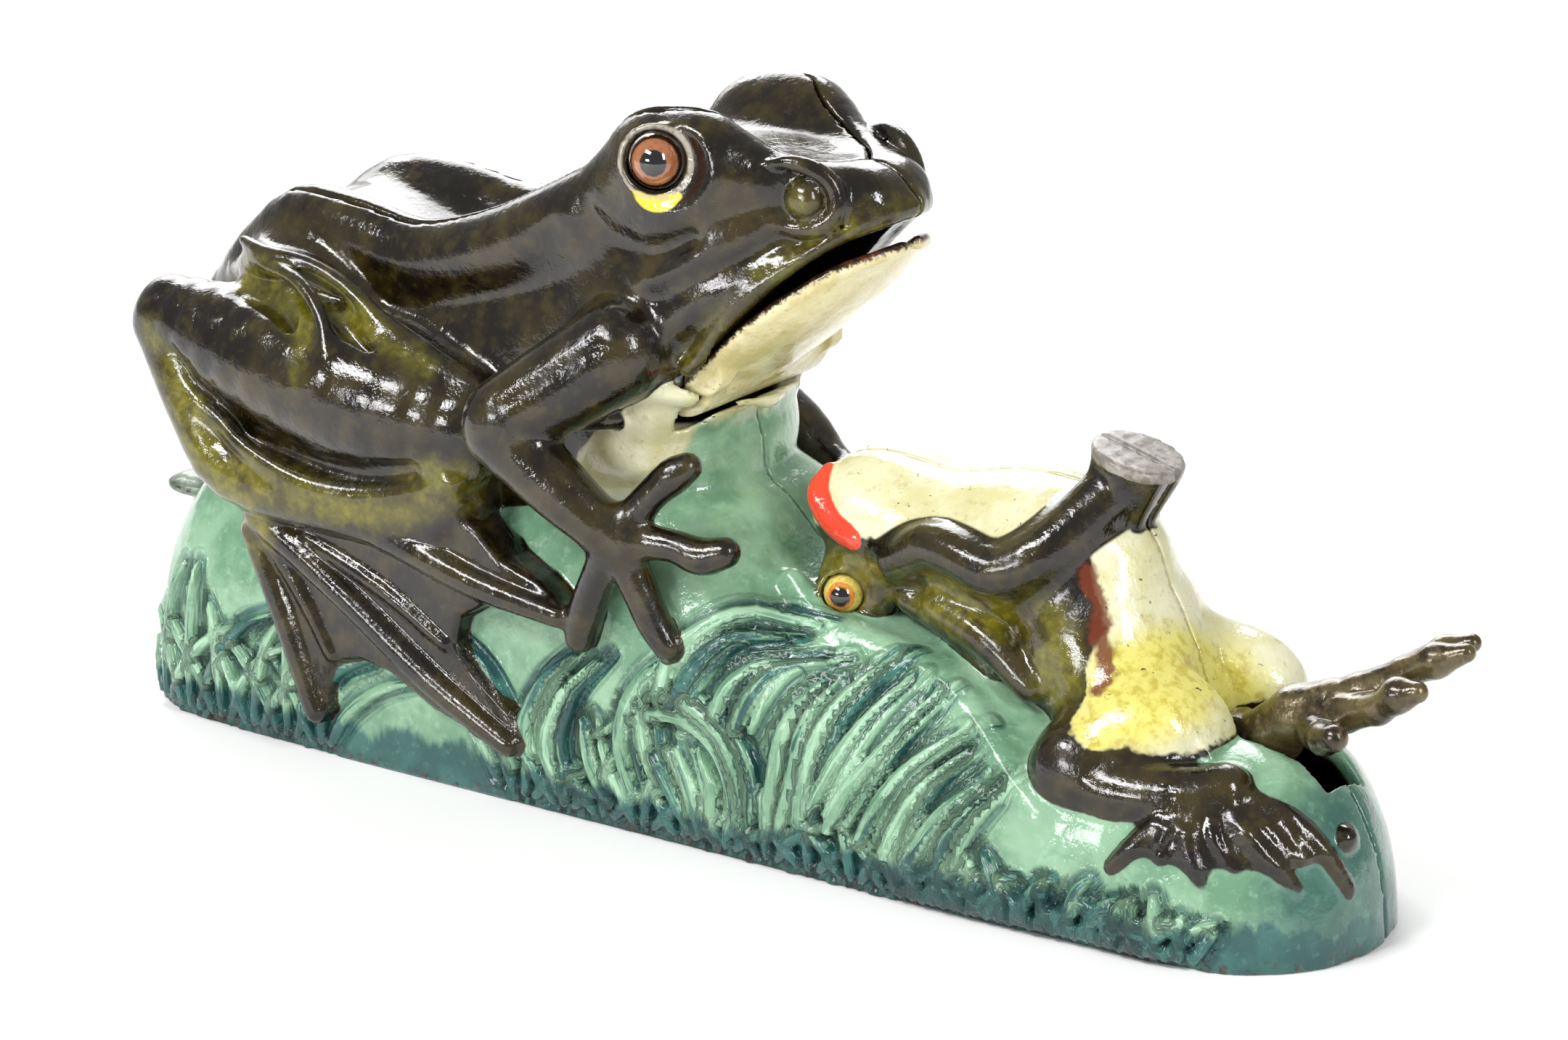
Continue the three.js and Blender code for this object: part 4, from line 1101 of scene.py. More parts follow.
def olive_places():
    """Where the dark paint was rubbed thin over yellow."""
    places = []
    for side in SIDES:
        places += [
            flow([(-84, 17, 66.4, 1), (-75, 23, 69.4, 2.6), (-66, 26, 69, 2.8), (-59, 28.6, 64, 2.2),
                  (-58, 31.6, 59, 1)], side),
            flow([(-63, 24, 71, 1), (-57, 23.8, 68, 2.2), (-49, 24.6, 64, 2.2), (-41, 25, 61.2, 1.4)], side),
            flow([(-88, 29, 61, 1.4), (-81, 32, 52, 2.8), (-75, 33, 45, 3.6), (-66, 32.6, 42.4, 3),
                  (-50, 30.6, 40.4, 2.4), (-38, 26, 43, 2.6)], side),
            ellipsoid((-71, 31 * side, 36), (5, 6, 8)), ellipsoid((-38, 25 * side, 46), (6, 6, 5)),
            ellipsoid((14, 12 * side, 91), (1.8, 2, 1.8)),
            upper_lip(side),
            ellipsoid((40, 13.5 * side, 39), (12, 4, 4)),
            ellipsoid((56, 16 * side, 36), (5, 5, 9), lean=-20),
            ellipsoid((23, 12 * side, 39), (8, 4, 4)),
        ]
    return places


def lip_places():
    return [
        flow([(13.6, 6.4, 51.6, 1.8), (14.7, 9.4, 49.5, 2.1), (18.1, 11.4, 46.5, 2.2),
              (22.6, 12.4, 44.9, 1.6)], side)
        for side in SIDES
    ]


def sleeve_places():
    """The small frog's arms and the stalk are dark all over."""
    return [small_arm(-1), small_arm(1), *stalk()]


def rust_places():
    return [
        flow([(58.7, 9.7, 46.5, 1.0), (60.7, 10.4, 43, 1.3), (62.9, 12.3, 38, 1.3), (64.4, 13.8, 34.8, 1.1),
              (64, 15.8, 32.3, 0.7)], side)
        for side in SIDES
    ]


def raise_grass(ground):
    """Adds the blades to the ground, and keeps where they run, for the paint."""
    blade, tint, along, across = (ground.like() for _ in range(4))
    for limbs, dark, side in grass():
        start = 90 * dark
        for part in limbs:
            where, axes = ground.window(part, 2.8)
            if not where:
                continue
            distance = part.distance(*axes).astype(np.float32)
            closer = distance < blade.values[where]
            far, aside = brush(part, side, *axes)
            for record, value in ((tint, dark), (along, start + far), (across, aside)):
                record.values[where] = np.where(closer, value, record.values[where])
            blade.values[where] = np.minimum(blade.values[where], distance)
            ground.values[where] = smooth_min(ground.values[where], distance, 0.35)
            start += part.line[2]
    # a groove runs along each blade
    ground.values += (0.85 * np.exp(-(((blade.values - 0.6) / 0.5) ** 2))).astype(np.float32)
    return blade, tint, along, across


def build_castings(material):
    """The two halves and the cover, from one field of the whole bank."""
    ground = Field((-103, -38, -1.6), (104, 38, 105), PITCH)
    ground.join_level(mound_level, MOUND[0], 2.5)
    bare = ground.copy()
    hollow = ground.copy()
    blade, tint, along, across = raise_grass(ground)
    for rim in border():
        ground.join(rim, 2.4)
    ground.join(chest(), 2.5)
    ground.cut([chest_fold(side) for side in SIDES], 1.5)

    frog = large_frog(ground.like())
    little = small_frog(ground.like())
    seat = Vector((COIN_REST["x"], 0, COIN_REST["z"]))
    rest = ground.like().join(disc(seat, rest_axis(), COIN_REST["r"], COIN_REST["thick"] / 2))

    hollow.join_level(trunk_level, TRUNK[0], 4)
    hollow.join([
        ellipsoid((-18, 0, 49.5), (16.5, 17.6, 17.5 + WALL)), barrel(-11.5, 13.6, 18.9, 40, 63.2, 1.2),
        ellipsoid((27, 0, 44.5), (16.5, 12.5, 9.2), lean=3), ellipsoid((45, 0, 44), (20, 13.6, 12), lean=-4),
        ellipsoid((57.4, 0, 33.5), (12.4, 14.6, 15.5), lean=-22),
    ])

    whole = ground.like()
    whole.values = smooth_min(ground.values, frog.values, 1.0)
    whole.values = smooth_min(whole.values, little.values, 0.8)
    whole.values = smooth_min(whole.values, rest.values, 0.4)
    shell = ground.like()
    shell.values = np.maximum(whole.values, -(hollow.values + WALL))
    for boss in screw_bosses():
        where, axes = shell.window(boss, 1)
        solid = np.maximum(boss.distance(*axes), whole.values[where])
        shell.values[where] = np.minimum(shell.values[where], solid)
    shell.cut(block((-120, -50, -10), (120, 50, 0)))
    for side in SIDES:
        for big in (True, False):
            centre, *_, r = eye_frame(side, big)
            shell.cut(ball(*centre, r + 0.25), 0.3)
    shell.cut(screw_rooms())

    x, y, z = ground.axes()
    prism = cover_prism(0).distance(x, y, z).astype(np.float32)
    outside = cover_prism(GAP).distance(x, y, z).astype(np.float32)
    cover = shell.like()
    cover.values = -smooth_min(-shell.values, -prism, 0.4)

    body = shell.like()
    body.values = -smooth_min(-shell.values, outside, 0.4)
    body.cut(plate(LEG_SLOT, -4.6, 4.6), 0.8)
    body.cut(jaw_room(), 0.3)
    body.cut(block((-106, -2.8, 13), (-92, 2.8, 32)), 0.8)
    body.join(rod(KICK_PIVOT, -13, -4.9, 3.6))

    # the "ring" place is a painted highlight on the raised ring around each large eye
    places = {"olive": olive_places(), "cream": cream_places(), "chest": chest_places(),
              "yellow": yellow_places(), "lip": lip_places(),
              "ring": [eye_ring(side, True, 5.0, 0.38, 2.5) for side in SIDES], "rust": rust_places()}
    sleeves = sleeve_places()

    def paints(points):
        """Signed distances into each painted place, in millimetres, and where the blades run."""
        on_ground, on_frog, on_little, on_rest = (
            field.sample(points) for field in (ground, frog, little, rest)
        )
        values = {name: -nearest(shapes, points) for name, shapes in places.items()}
        values["green"] = np.minimum(on_frog, np.minimum(on_little, on_rest)) - on_ground
        values["small"] = on_frog - on_little
        values["iron"] = np.minimum(on_little, on_frog) - on_rest - 0.15
        values["sleeve"] = 0.9 - nearest(sleeves, points)
        values["deep"] = 1.4 - hollow.sample(points) - WALL
        values = {name: np.clip(value, -PAINT_REACH, PAINT_REACH) for name, value in values.items()}
        values["relief"] = np.clip(bare.sample(points), -2, 2)
        values["blade"] = np.clip(blade.sample(points), -3, 3)
        values["tint"] = np.clip(tint.sample(points), 0, 1)
        values["along"] = along.sample(points)
        values["across"] = across.sample(points)
        values["ahead"] = points[:, 0]
        return values

    for name, side in (("right", -1), ("left", 1)):
        half = body.like()
        half.values = np.maximum(body.values, (-side * y + GAP / 2).astype(np.float32))
        node = name + "_casting"
        cast_piece(node + "_skin", half, "bank", node, material, paints)
    cast_piece("back_cover_skin", cover, "bank", "back_cover", material, paints)


# ---- Materials ----
def linear(color):
    """The shader's values for a colour given as it looks on a screen, from 0 to 255."""
    values = [v / 255 for v in color]
    return [v / 12.92 if v <= 0.04045 else ((v + 0.055) / 1.055) ** 2.4 for v in values] + [1]


class Paint:
    """Builds one material's nodes. Places are in millimetres in the row frame."""

    def __init__(self, name):
        self.material = bpy.data.materials.new(name)
        self.material.use_nodes = True
        self.nodes = self.material.node_tree.nodes
        self.links = self.material.node_tree.links
        self.nodes.clear()
        self.shader = self.nodes.new("ShaderNodeBsdfPrincipled")
        output = self.nodes.new("ShaderNodeOutputMaterial")
        self.links.new(self.shader.outputs[0], output.inputs[0])
        place = self.nodes.new("ShaderNodeTexCoord")
        scale = self.nodes.new("ShaderNodeVectorMath")
        scale.operation = "SCALE"
        scale.inputs["Scale"].default_value = 1 / MM
        self.links.new(place.outputs["Object"], scale.inputs[0])
        self.place = scale.outputs[0]

    def put(self, socket, value):
        """Links a socket, or sets it to a value; a tuple is a colour."""
        if isinstance(value, bpy.types.NodeSocket):
            self.links.new(value, socket)
        else:
            socket.default_value = linear(value) if isinstance(value, tuple) else value

    def attribute(self, name):
        node = self.nodes.new("ShaderNodeAttribute")
        node.attribute_name = name
        return node.outputs["Fac"]

    def stretched(self, x, y, z):
        node = self.nodes.new("ShaderNodeVectorMath")
        node.operation = "MULTIPLY"
        self.put(node.inputs[0], self.place)
        node.inputs[1].default_value = (x, y, z)
        return node.outputs[0]

    def combine(self, x, y, z):
        node = self.nodes.new("ShaderNodeCombineXYZ")
        for socket, value in zip(node.inputs, (x, y, z)):
            self.put(socket, value)
        return node.outputs[0]

    def noise(self, size, detail=3.0, roughness=0.55, distortion=0.0, place=None):
        """Cloudy values from about 0.3 to 0.7, with features of that size in millimetres."""
        node = self.nodes.new("ShaderNodeTexNoise")
        self.put(node.inputs["Vector"], place or self.place)
        node.inputs["Scale"].default_value = 1 / size
        node.inputs["Detail"].default_value = detail
        node.inputs["Roughness"].default_value = roughness
        node.inputs["Distortion"].default_value = distortion
        return node.outputs["Fac"]

    def math(self, operation, a, b=0.0):
        node = self.nodes.new("ShaderNodeMath")
        node.operation = operation
        self.put(node.inputs[0], a)
        self.put(node.inputs[1], b)
        return node.outputs[0]

    def add(self, a, b):
        return self.math("ADD", a, b)

    def times(self, a, b):
        return self.math("MULTIPLY", a, b)

    def step(self, value, low, high, out_low=0.0, out_high=1.0):
        """A smooth step of value from low to high."""
        node = self.nodes.new("ShaderNodeMapRange")
        node.interpolation_type = "SMOOTHSTEP"
        self.put(node.inputs["Value"], value)
        node.inputs["From Min"].default_value = low
        node.inputs["From Max"].default_value = high
        node.inputs["To Min"].default_value = out_low
        node.inputs["To Max"].default_value = out_high
        return node.outputs["Result"]

    def mix(self, factor, a, b):
        node = self.nodes.new("ShaderNodeMix")
        node.data_type = "RGBA"
        self.put(node.inputs[0], factor)
        self.put(node.inputs[6], a)
        self.put(node.inputs[7], b)
        return node.outputs[2]

    def blend(self, value, low, high, a, b, most=1.0):
        """A colour that goes from a to b as the value goes from low to high."""
        return self.mix(self.step(value, low, high, 0.0, most), a, b)

    def height(self):
        node = self.nodes.new("ShaderNodeSeparateXYZ")
        self.links.new(self.place, node.inputs[0])
        return node.outputs["Z"]

    def bump(self, *layers):
        """Layers are (value, height in millimetres)."""
        normal = None
        for value, tall in layers:
            node = self.nodes.new("ShaderNodeBump")
            node.inputs["Strength"].default_value = 1.0
            node.inputs["Distance"].default_value = tall * MM
            self.links.new(value, node.inputs["Height"])
            if normal:
                self.links.new(normal, node.inputs["Normal"])
            normal = node.outputs[0]
        self.links.new(normal, self.shader.inputs["Normal"])

    def finish(self, color, roughness, metallic=0.0, coat=0.0, coat_roughness=0.05, specular=0.5):
        self.put(self.shader.inputs["Base Color"], color)
        self.put(self.shader.inputs["Roughness"], roughness)
        self.put(self.shader.inputs["Metallic"], metallic)
        self.shader.inputs["Coat Weight"].default_value = coat
        self.shader.inputs["Coat Roughness"].default_value = coat_roughness
        self.shader.inputs["Specular IOR Level"].default_value = specular
        return self.material


def dark_enamel(paint, cloudy, fine):
    """The frogs' dark coat, brown where it is thick and olive where it is thin."""
    dark = paint.blend(cloudy, 0.4, 0.64, (15, 10, 4), (46, 38, 14))
    dark = paint.blend(paint.noise(4.5, 4, 0.65), 0.5, 0.66, dark, (66, 56, 22), 0.35)
    return paint.blend(fine, 0.54, 0.7, dark, (74, 66, 26), 0.25)


def casting_paint():
    paint, cloudy, fine = mottled("cast_paint", 9, 1.6)
    wobble = paint.times(paint.add(paint.noise(2.4, 2), -0.5), 1.6)
    grit = paint.noise(0.55, 2, 0.6)
    chips = paint.noise(1.1, 4, 0.7, 0.4)

    def within(name, soft, ragged):
        """1 inside a painted place, with an edge that soft and that ragged."""
        edge = paint.add(paint.attribute(name), paint.times(wobble, ragged))
        return paint.step(edge, -soft, soft)

    # the mound: mint, with teal and pale strokes that follow the blades, teal paint and painted shade in the
    # grooves beside them, a teal foot, and painted shade that darkens the front end to teal
    relief = paint.attribute("relief")
    blade = paint.attribute("blade")
    across, along, tint = (paint.attribute(name) for name in ("across", "along", "tint"))
    stroke_place = paint.combine(across, paint.times(along, 0.07), paint.times(tint, 40))
    strokes = paint.noise(1.4, 3, 0.55, 0.0, stroke_place)
    mint = paint.blend(cloudy, 0.36, 0.64, (102, 144, 114), (138, 176, 144))
    mint = paint.blend(fine, 0.55, 0.7, mint, (154, 198, 164), 0.35)
    teal = paint.blend(cloudy, 0.42, 0.62, (28, 70, 68), (58, 110, 100))
    teal = paint.blend(fine, 0.56, 0.7, teal, (100, 152, 132), 0.5)
    striped = paint.blend(strokes, 0.45, 0.38, mint, teal)
    striped = paint.blend(strokes, 0.54, 0.6, striped, (168, 208, 176), 0.7)
    brushed = paint.blend(strokes, 0.48, 0.58, teal, mint)
    striped = paint.blend(tint, 0.72, 0.74, striped, brushed)
    green = paint.blend(blade, 1.9, 0.9, mint, striped)
    # the grooves beside the blades turn deep teal: teal paint in the grooves together with painted shade
    groove_teal_and_shade = paint.times(paint.step(relief, 0.15, -0.45), paint.step(blade, 1.5, 0.6))
    green = paint.mix(paint.times(groove_teal_and_shade, 0.7), green, paint.mix(0.35, teal, (24, 64, 60)))
    foot_and_shaded_front = paint.noise(5, 4, 0.6, 0, paint.stretched(1, 1, 0.4))
    foot_and_shaded_front = paint.add(paint.height(), paint.times(paint.add(foot_and_shaded_front, -0.5), 10))
    # painted shade: the mound's front end darkens towards teal, taken into the teal foot's mask
    shaded_front_end = paint.add(paint.attribute("ahead"), paint.times(wobble, 3))
    foot_and_shaded_front = paint.math("MAXIMUM", paint.step(foot_and_shaded_front, 7.2, 4.8), paint.step(shaded_front_end, 89, 96, 0, 0.8))
    green = paint.mix(foot_and_shaded_front, green, paint.mix(0.5, teal, (38, 88, 86)))

    # the frogs
    dark = dark_enamel(paint, cloudy, fine)
    rubbed = paint.blend(fine, 0.36, 0.7, (92, 86, 20), (120, 114, 32))
    rubbed = paint.blend(paint.noise(4.6, 4), 0.46, 0.62, rubbed, (50, 40, 12), 0.8)
    dark = paint.mix(paint.times(within("olive", 2.2, 1.4), 0.9), dark, rubbed)
    cream = paint.blend(cloudy, 0.4, 0.62, (220, 218, 184), (204, 199, 150))
    cream = paint.blend(fine, 0.56, 0.72, cream, (176, 160, 112), 0.5)
    yellow = paint.blend(fine, 0.42, 0.66, (216, 208, 112), (190, 176, 74))
    creamy = paint.times(within("cream", 0.35, 1.4), paint.step(paint.attribute("sleeve"), 0.2, -0.2))
    creamy = paint.times(creamy, paint.step(paint.attribute("small"), -0.3, 0.3))
    skin = paint.mix(creamy, dark, cream)
    skin = paint.mix(paint.times(within("yellow", 2.2, 1.4), creamy), skin, yellow)
    under_eye = paint.times(within("yellow", 0.2, 0.3), paint.step(paint.height(), 80, 82))
    skin = paint.mix(under_eye, skin, (222, 204, 40))
    skin = paint.mix(paint.times(within("rust", 0.5, 2.0), 0.9), skin, (104, 44, 20))
    skin = paint.mix(within("lip", 0.2, 0.5), skin, (214, 66, 42))
    # a painted highlight: a pale line along the glossy rim of the ring around each large eye
    skin = paint.mix(paint.times(within("ring", 0.25, 0.25), 0.75), skin, (180, 170, 154))
    speck = paint.step(chips, 0.66, 0.69)
    skin = paint.mix(paint.times(speck, creamy), skin, (58, 42, 26))

    # the chest's mint turns to cream towards the throat
    pale = within("chest", 0.9, 2.2)
    green = paint.mix(pale, green, paint.blend(paint.attribute("chest"), 1.6, 0.4, cream, mint, 0.35))
    meadow = paint.add(paint.attribute("green"), paint.times(wobble, 0.35))
    color = paint.blend(meadow, -0.15, 0.15, skin, green)
    iron = paint.blend(fine, 0.4, 0.62, (112, 106, 98), (150, 144, 136))
    iron_mask = paint.step(paint.attribute("iron"), -0.1, 0.1)
    color = paint.mix(iron_mask, color, iron)
    # bare rusty iron inside the shell, and where the foot's edge has chipped
    bare = paint.blend(fine, 0.42, 0.6, (46, 38, 34), (84, 58, 44))
    chipped = paint.times(paint.step(paint.height(), 3.0, 0.6), paint.step(chips, 0.54, 0.6))
    inside = paint.step(paint.attribute("deep"), 0.3, 0.9)
    lost = paint.math("MAXIMUM", inside, chipped)
    color = paint.mix(lost, color, bare)

    rough = paint.step(paint.noise(5, 3), 0.35, 0.7, 0.1, 0.26)
    rough = paint.math("MAXIMUM", rough, paint.times(paint.math("MAXIMUM", lost, iron_mask), 0.5))
    lines = paint.times(strokes, paint.times(paint.step(blade, 1.9, 0.9), paint.attribute("green")))
    paint.bump((cloudy, 0.35), (fine, 0.14), (grit, 0.03), (lines, 0.35))
    return paint.finish(color, rough, coat=0.35, coat_roughness=0.05)


def mottled(name, cloud, grain):
    """A material and its two noises, with features of those sizes."""
    paint = Paint(name)
    return paint, paint.noise(cloud, 4, 0.6), paint.noise(grain, 3, 0.6)


def jaw_paint():
    paint, cloudy, fine = mottled("jaw_paint", 7, 1.4)
    chips = paint.noise(0.9, 4, 0.7, 0.4)
    cream = paint.blend(cloudy, 0.38, 0.62, (226, 218, 176), (206, 192, 134))
    cream = paint.blend(fine, 0.56, 0.7, cream, (178, 164, 116), 0.5)
    rim = paint.add(paint.attribute("rim"), paint.times(paint.add(chips, -0.5), 2.4))
    dark = paint.blend(fine, 0.45, 0.6, (36, 26, 16), (84, 44, 26))
    color = paint.blend(rim, 1.1, 0.5, cream, dark)
    color = paint.blend(chips, 0.68, 0.71, color, dark)
    rough = paint.step(paint.noise(4, 3), 0.35, 0.7, 0.16, 0.34)
    paint.bump((cloudy, 0.4), (fine, 0.1), (paint.noise(0.5, 2), 0.03))
    return paint.finish(color, rough, coat=0.4, coat_roughness=0.08)


def leg_paint():
    paint, cloudy, fine = mottled("leg_paint", 6, 1.2)
    color = paint.blend(cloudy, 0.38, 0.62, (44, 34, 20), (96, 84, 52))
    color = paint.blend(fine, 0.56, 0.7, color, (118, 106, 78), 0.6)
    rough = paint.step(paint.noise(3, 3), 0.35, 0.7, 0.16, 0.34)
    paint.bump((cloudy, 0.35), (fine, 0.1), (paint.noise(0.5, 2), 0.03))
    return paint.finish(color, rough, metallic=0.35, coat=0.4, coat_roughness=0.08)


def lever_paint():
    paint, cloudy, fine = mottled("lever_paint", 5, 1.0)
    color = paint.blend(cloudy, 0.4, 0.6, (86, 100, 88), (122, 136, 120))
    color = paint.blend(paint.noise(2.2, 4, 0.7), 0.54, 0.6, color, (70, 58, 48))
    rough = paint.step(fine, 0.35, 0.7, 0.3, 0.5)
    paint.bump((cloudy, 0.25), (fine, 0.08))
    return paint.finish(color, rough, metallic=0.2, coat=0.2, coat_roughness=0.2)


def cast_iron():
    paint, cloudy, fine = mottled("cast_iron", 8, 0.9)
    color = paint.blend(cloudy, 0.4, 0.62, (62, 56, 52), (92, 84, 78))
    color = paint.blend(paint.noise(3, 4, 0.7), 0.56, 0.66, color, (98, 62, 42))
    paint.bump((fine, 0.16), (paint.noise(0.35, 2), 0.05))
    return paint.finish(color, paint.step(fine, 0.3, 0.7, 0.45, 0.7), metallic=0.6)


def steel(name, tone, rust):
    paint, cloudy, fine = mottled(name, 3, 0.6)
    color = paint.blend(cloudy, 0.4, 0.62, (int(0.8 * tone),) * 3, (tone,) * 3)
    color = paint.blend(paint.noise(1.6, 4, 0.7), rust, rust + 0.08, color, (92, 60, 40))
    lines = paint.noise(0.5, 2, 0.6, 0, paint.stretched(1, 0.1, 1))
    paint.bump((lines, 0.03), (fine, 0.03))
    return paint.finish(color, paint.step(fine, 0.3, 0.7, 0.3, 0.5), metallic=1.0)


def eye_glass(name, rings):
    """Glass painted behind: rings are (outer radius in millimetres, colour), from the middle out."""
    paint = Paint(name)
    r = paint.attribute("from_pupil")
    ragged = paint.add(r, paint.times(paint.add(paint.noise(0.7, 3), -0.5), 0.25))
    color = rings[-1][1]
    for outer, tone in reversed(rings[:-1]):
        color = paint.blend(ragged, outer + 0.1, outer - 0.1, color, tone)
    mottle = paint.step(paint.noise(0.6, 3), 0.45, 0.7, 0, 0.3)
    color = paint.mix(mottle, color, (70, 36, 18))
    color = paint.blend(r, rings[0][0] + 0.08, rings[0][0] - 0.08, color, rings[0][1])
    paint.bump((paint.noise(2.5, 1), 0.02))
    return paint.finish(color, 0.05, coat=1.0, coat_roughness=0.01, specular=0.7)


# ---- Turned and wound pieces ----
def turned(name, profile, base, axis, steps=48):
    """A lathe-turned piece: profile is (distance along the axis, radius), in millimetres."""
    axis = Vector(axis).normalized()
    side = axis.orthogonal().normalized()
    other = axis.cross(side)
    base = Vector(base)
    points, faces = [], []
    for along, radius in profile[1:-1]:
        for i in range(steps):
            turn = 2 * math.pi * i / steps
            across = side * math.cos(turn) + other * math.sin(turn)
            points.append((base + axis * along + across * radius) * MM)
    rows = len(profile) - 2
    for row in range(rows - 1):
        for i in range(steps):
            j = (i + 1) % steps
            a, b = row * steps, (row + 1) * steps
            faces.append((a + i, a + j, b + j, b + i))
    points += [(base + axis * profile[0][0]) * MM, (base + axis * profile[-1][0]) * MM]
    first, last = rows * steps, rows * steps + 1
    for i in range(steps):
        j = (i + 1) % steps
        faces.append((first, j, i))
        faces.append((last, (rows - 1) * steps + i, (rows - 1) * steps + j))
    mesh = bpy.data.meshes.new(name)
    mesh.from_pydata(points, [], faces)
    mesh.update()
    mesh.shade_smooth()
    return add_object(name, mesh)


def build_eyes():
    pupil, dark = (8, 6, 5), (34, 22, 14)
    # outside its dark ring the amber glass is pale grey: a painted highlight along the eye's rim
    amber = eye_glass("amber_glass", [(1.7, pupil), (1.85, dark), (3.2, (158, 98, 62)), (3.7, dark),
                                      (9, (190, 172, 158))])
    yellow = eye_glass("yellow_glass", [(1.3, pupil), (1.5, (170, 84, 36)), (2.0, (214, 142, 50)),
                                        (9, (226, 206, 110))])
    for side in SIDES:
        for big in (True, False):
            centre, look, _, _, r = eye_frame(side, big)
            name = eye_name(side, big)
            profile = [(-r, 0)]
            for i in range(1, 40):
                turn = math.pi * i / 40
                along, radius = -r * math.cos(turn), r * math.sin(turn)
                lens = max(0.0, along / r - 0.6)
                profile.append((along + 0.9 * lens, radius))
            profile.append((r + 0.36, 0))
            piece = turned(name + "_glass", profile, centre, look)
            attribute = piece.data.attributes.new("from_pupil", "FLOAT", "POINT")
            values = []
            for vertex in piece.data.vertices:
                offset = vertex.co / MM - centre
                along = offset.dot(look)
                across = (offset - look * along).length
                values.append(across if along > 0 else 9.0)
            attribute.data.foreach_set("value", values)
            material = amber if big else yellow
            place_piece(piece, "bank", name, material)


def build_jaw(material):
    field = Field((-52, -18.5, 40), (32, 18.5, 92), 0.45)
    field.join(jaw_bowl(0, 0))
    hollow = jaw_bowl(-JAW_WALL, 40)
    field.cut(hollow, 0.8)
    ear_outer = JAW_HALF_WIDTH - 1.6
    lip_length = JAW_LENGTH - 1.8
    for side in SIDES:
        low, high = sorted((side * ear_outer, side * (ear_outer - 3)))
        ends = JAW_PIVOT, in_mouth(4.5, -2.4)
        field.join([rod(end, low, high, 2.7) for end in ends], 1.2)
        field.join(plate(strip(*ends, 2.5), low, high), 0.8)
        # a rounded lip along the rim
        lip = []
        for degrees in range(4, 91, 8):
            share = math.sin(math.radians(degrees))
            along = lip_length * share
            x, z = in_mouth(along, float(through(*JAW_EDGE, along)) - 0.5)
            lip.append((x, ear_outer * math.sqrt(max(0, 1 - (along / lip_length) ** 3)), z, 1.0))
        field.join(flow(lip, side), 0.6)
    # an apron behind the bowl keeps the collar closed as the jaw swings
    arc = [math.radians(-8 - 11 * i) for i in range(9)]
    apron = []
    for radius, turns in ((6.0, arc), (4.4, arc[::-1])):
        apron += [(JAW_PIVOT[0] + radius * math.cos(t), JAW_PIVOT[1] + radius * math.sin(t)) for t in turns]
    field.join(plate(apron, -14.2, 14.2, 0.4), 0.8)
    tail_pin = pin_place("jaw_tail_pin")
    bend = (-11, 58.6)
    for a, b, r in ((in_mouth(4, 1.8 - JAW_DEPTH), bend, 1.7), (bend, tail_pin, 2.0)):
        field.join(plate(strip(a, b, r), -2, 2, 0.6), 0.8)
        field.join([rod(end, -2, 2, 1.25 * r) for end in (a, b)], 0.8)
    field.cut(rod(JAW_PIVOT, -30, 30, PIVOT_BORE))
    field.cut(rod(tail_pin, -30, 30, LINK_BORE))

    def paints(points):
        """How far below the bowl's edge each point lies; its inside counts as the edge."""
        along, up = mouth_axes(points[:, 0], points[:, 2])
        inner = hollow.distance(*points.T)
        rim = np.where(inner < 0.6, 0, through(*JAW_EDGE, along) + 0.4 - up)
        return {"rim": np.clip(rim, -1, 6)}

    cast_piece("lower_jaw_skin", field, "jaw_body", "lower_jaw", material, paints)


def strip(a, b, half):
    """The outline of a straight bar between two points in the XZ plane."""
    along = Vector((b[0] - a[0], b[1] - a[1])).normalized()
    across = Vector((-along.y, along.x)) * half
    return [(a[0] + across.x, a[1] + across.y), (b[0] + across.x, b[1] + across.y),
            (b[0] - across.x, b[1] - across.y), (a[0] - across.x, a[1] - across.y)]


def build_kicker(material):
    field = Field((68, -12, 12), (113, 11, 47), 0.38)
    half = 2.4
    tail_pin = pin_place("kicker_tail_pin")
    field.join(rod(KICK_PIVOT, -half, half, 3.6))
    field.join(plate(strip(KICK_PIVOT, tail_pin, 1.7), -half, half, 0.4), 0.4)
    field.join(rod(tail_pin, -half, half, 2.0), 0.4)
    ankle = (KICK_PIVOT[0] + 1, 0, KICK_PIVOT[1], 2.6)
    field.join(chain([ankle, (82, 0, 26, 3.4), (86, 0, 29, 3.9), (91, 0, 31.6, 3.4)]), 1.4)
    field.join(chain([(83.5, 0, 24.6, 3.0), (81.4, 0, 21.4, 2.3), (80.4, 0, 20, 1.6)]), 1.2)
    toes = [
        [(91, -3.6, 28.6, 2.4), (93.2, -6, 28.8, 2.1), (95.6, -7.6, 29.9, 1.9)],
        [(94, -1.8, 31.4, 2.6), (99.6, -3.4, 33.6, 2.1), (103, -4.2, 36.4, 2.3), (105.8, -4.4, 37.4, 1.5)],
        [(94.6, 0.8, 33.6, 2.6), (101, 0.9, 37.6, 2.0), (105.6, 1.0, 40.2, 2.3), (109.8, 1.2, 42, 1.3)],
        [(93.6, 2.4, 33.0, 2.3), (99.6, 4.2, 36.8, 1.9), (104.6, 5.6, 40, 2.1), (108, 6.2, 41.6, 1.3)],
    ]
    root = (87, 0, 29)
    for toe in toes:
        field.join(chain([(*root, 2.8), *toe]), 0.9)
    for (a, b, *_), (c, d, *_) in zip(toes, toes[1:]):
        dip = tuple((p + q) / 2 * 0.82 + 0.18 * r for p, q, r in zip(b[:3], d[:3], root))
        for skin in (web(root, a[:3], c[:3], 0.7), web(a[:3], dip, c[:3], 0.7),
                     web(a[:3], b[:3], dip, 0.6), web(c[:3], dip, d[:3], 0.6)):
            field.join(skin, 1.0)
    field.cut(rod(KICK_PIVOT, -30, 30, PIVOT_BORE))
    field.cut(rod(tail_pin, -30, 30, KICK_TAIL_BORE))
    cast_piece("kicker_leg_skin", field, "kicker_body", "kicker_leg", material)


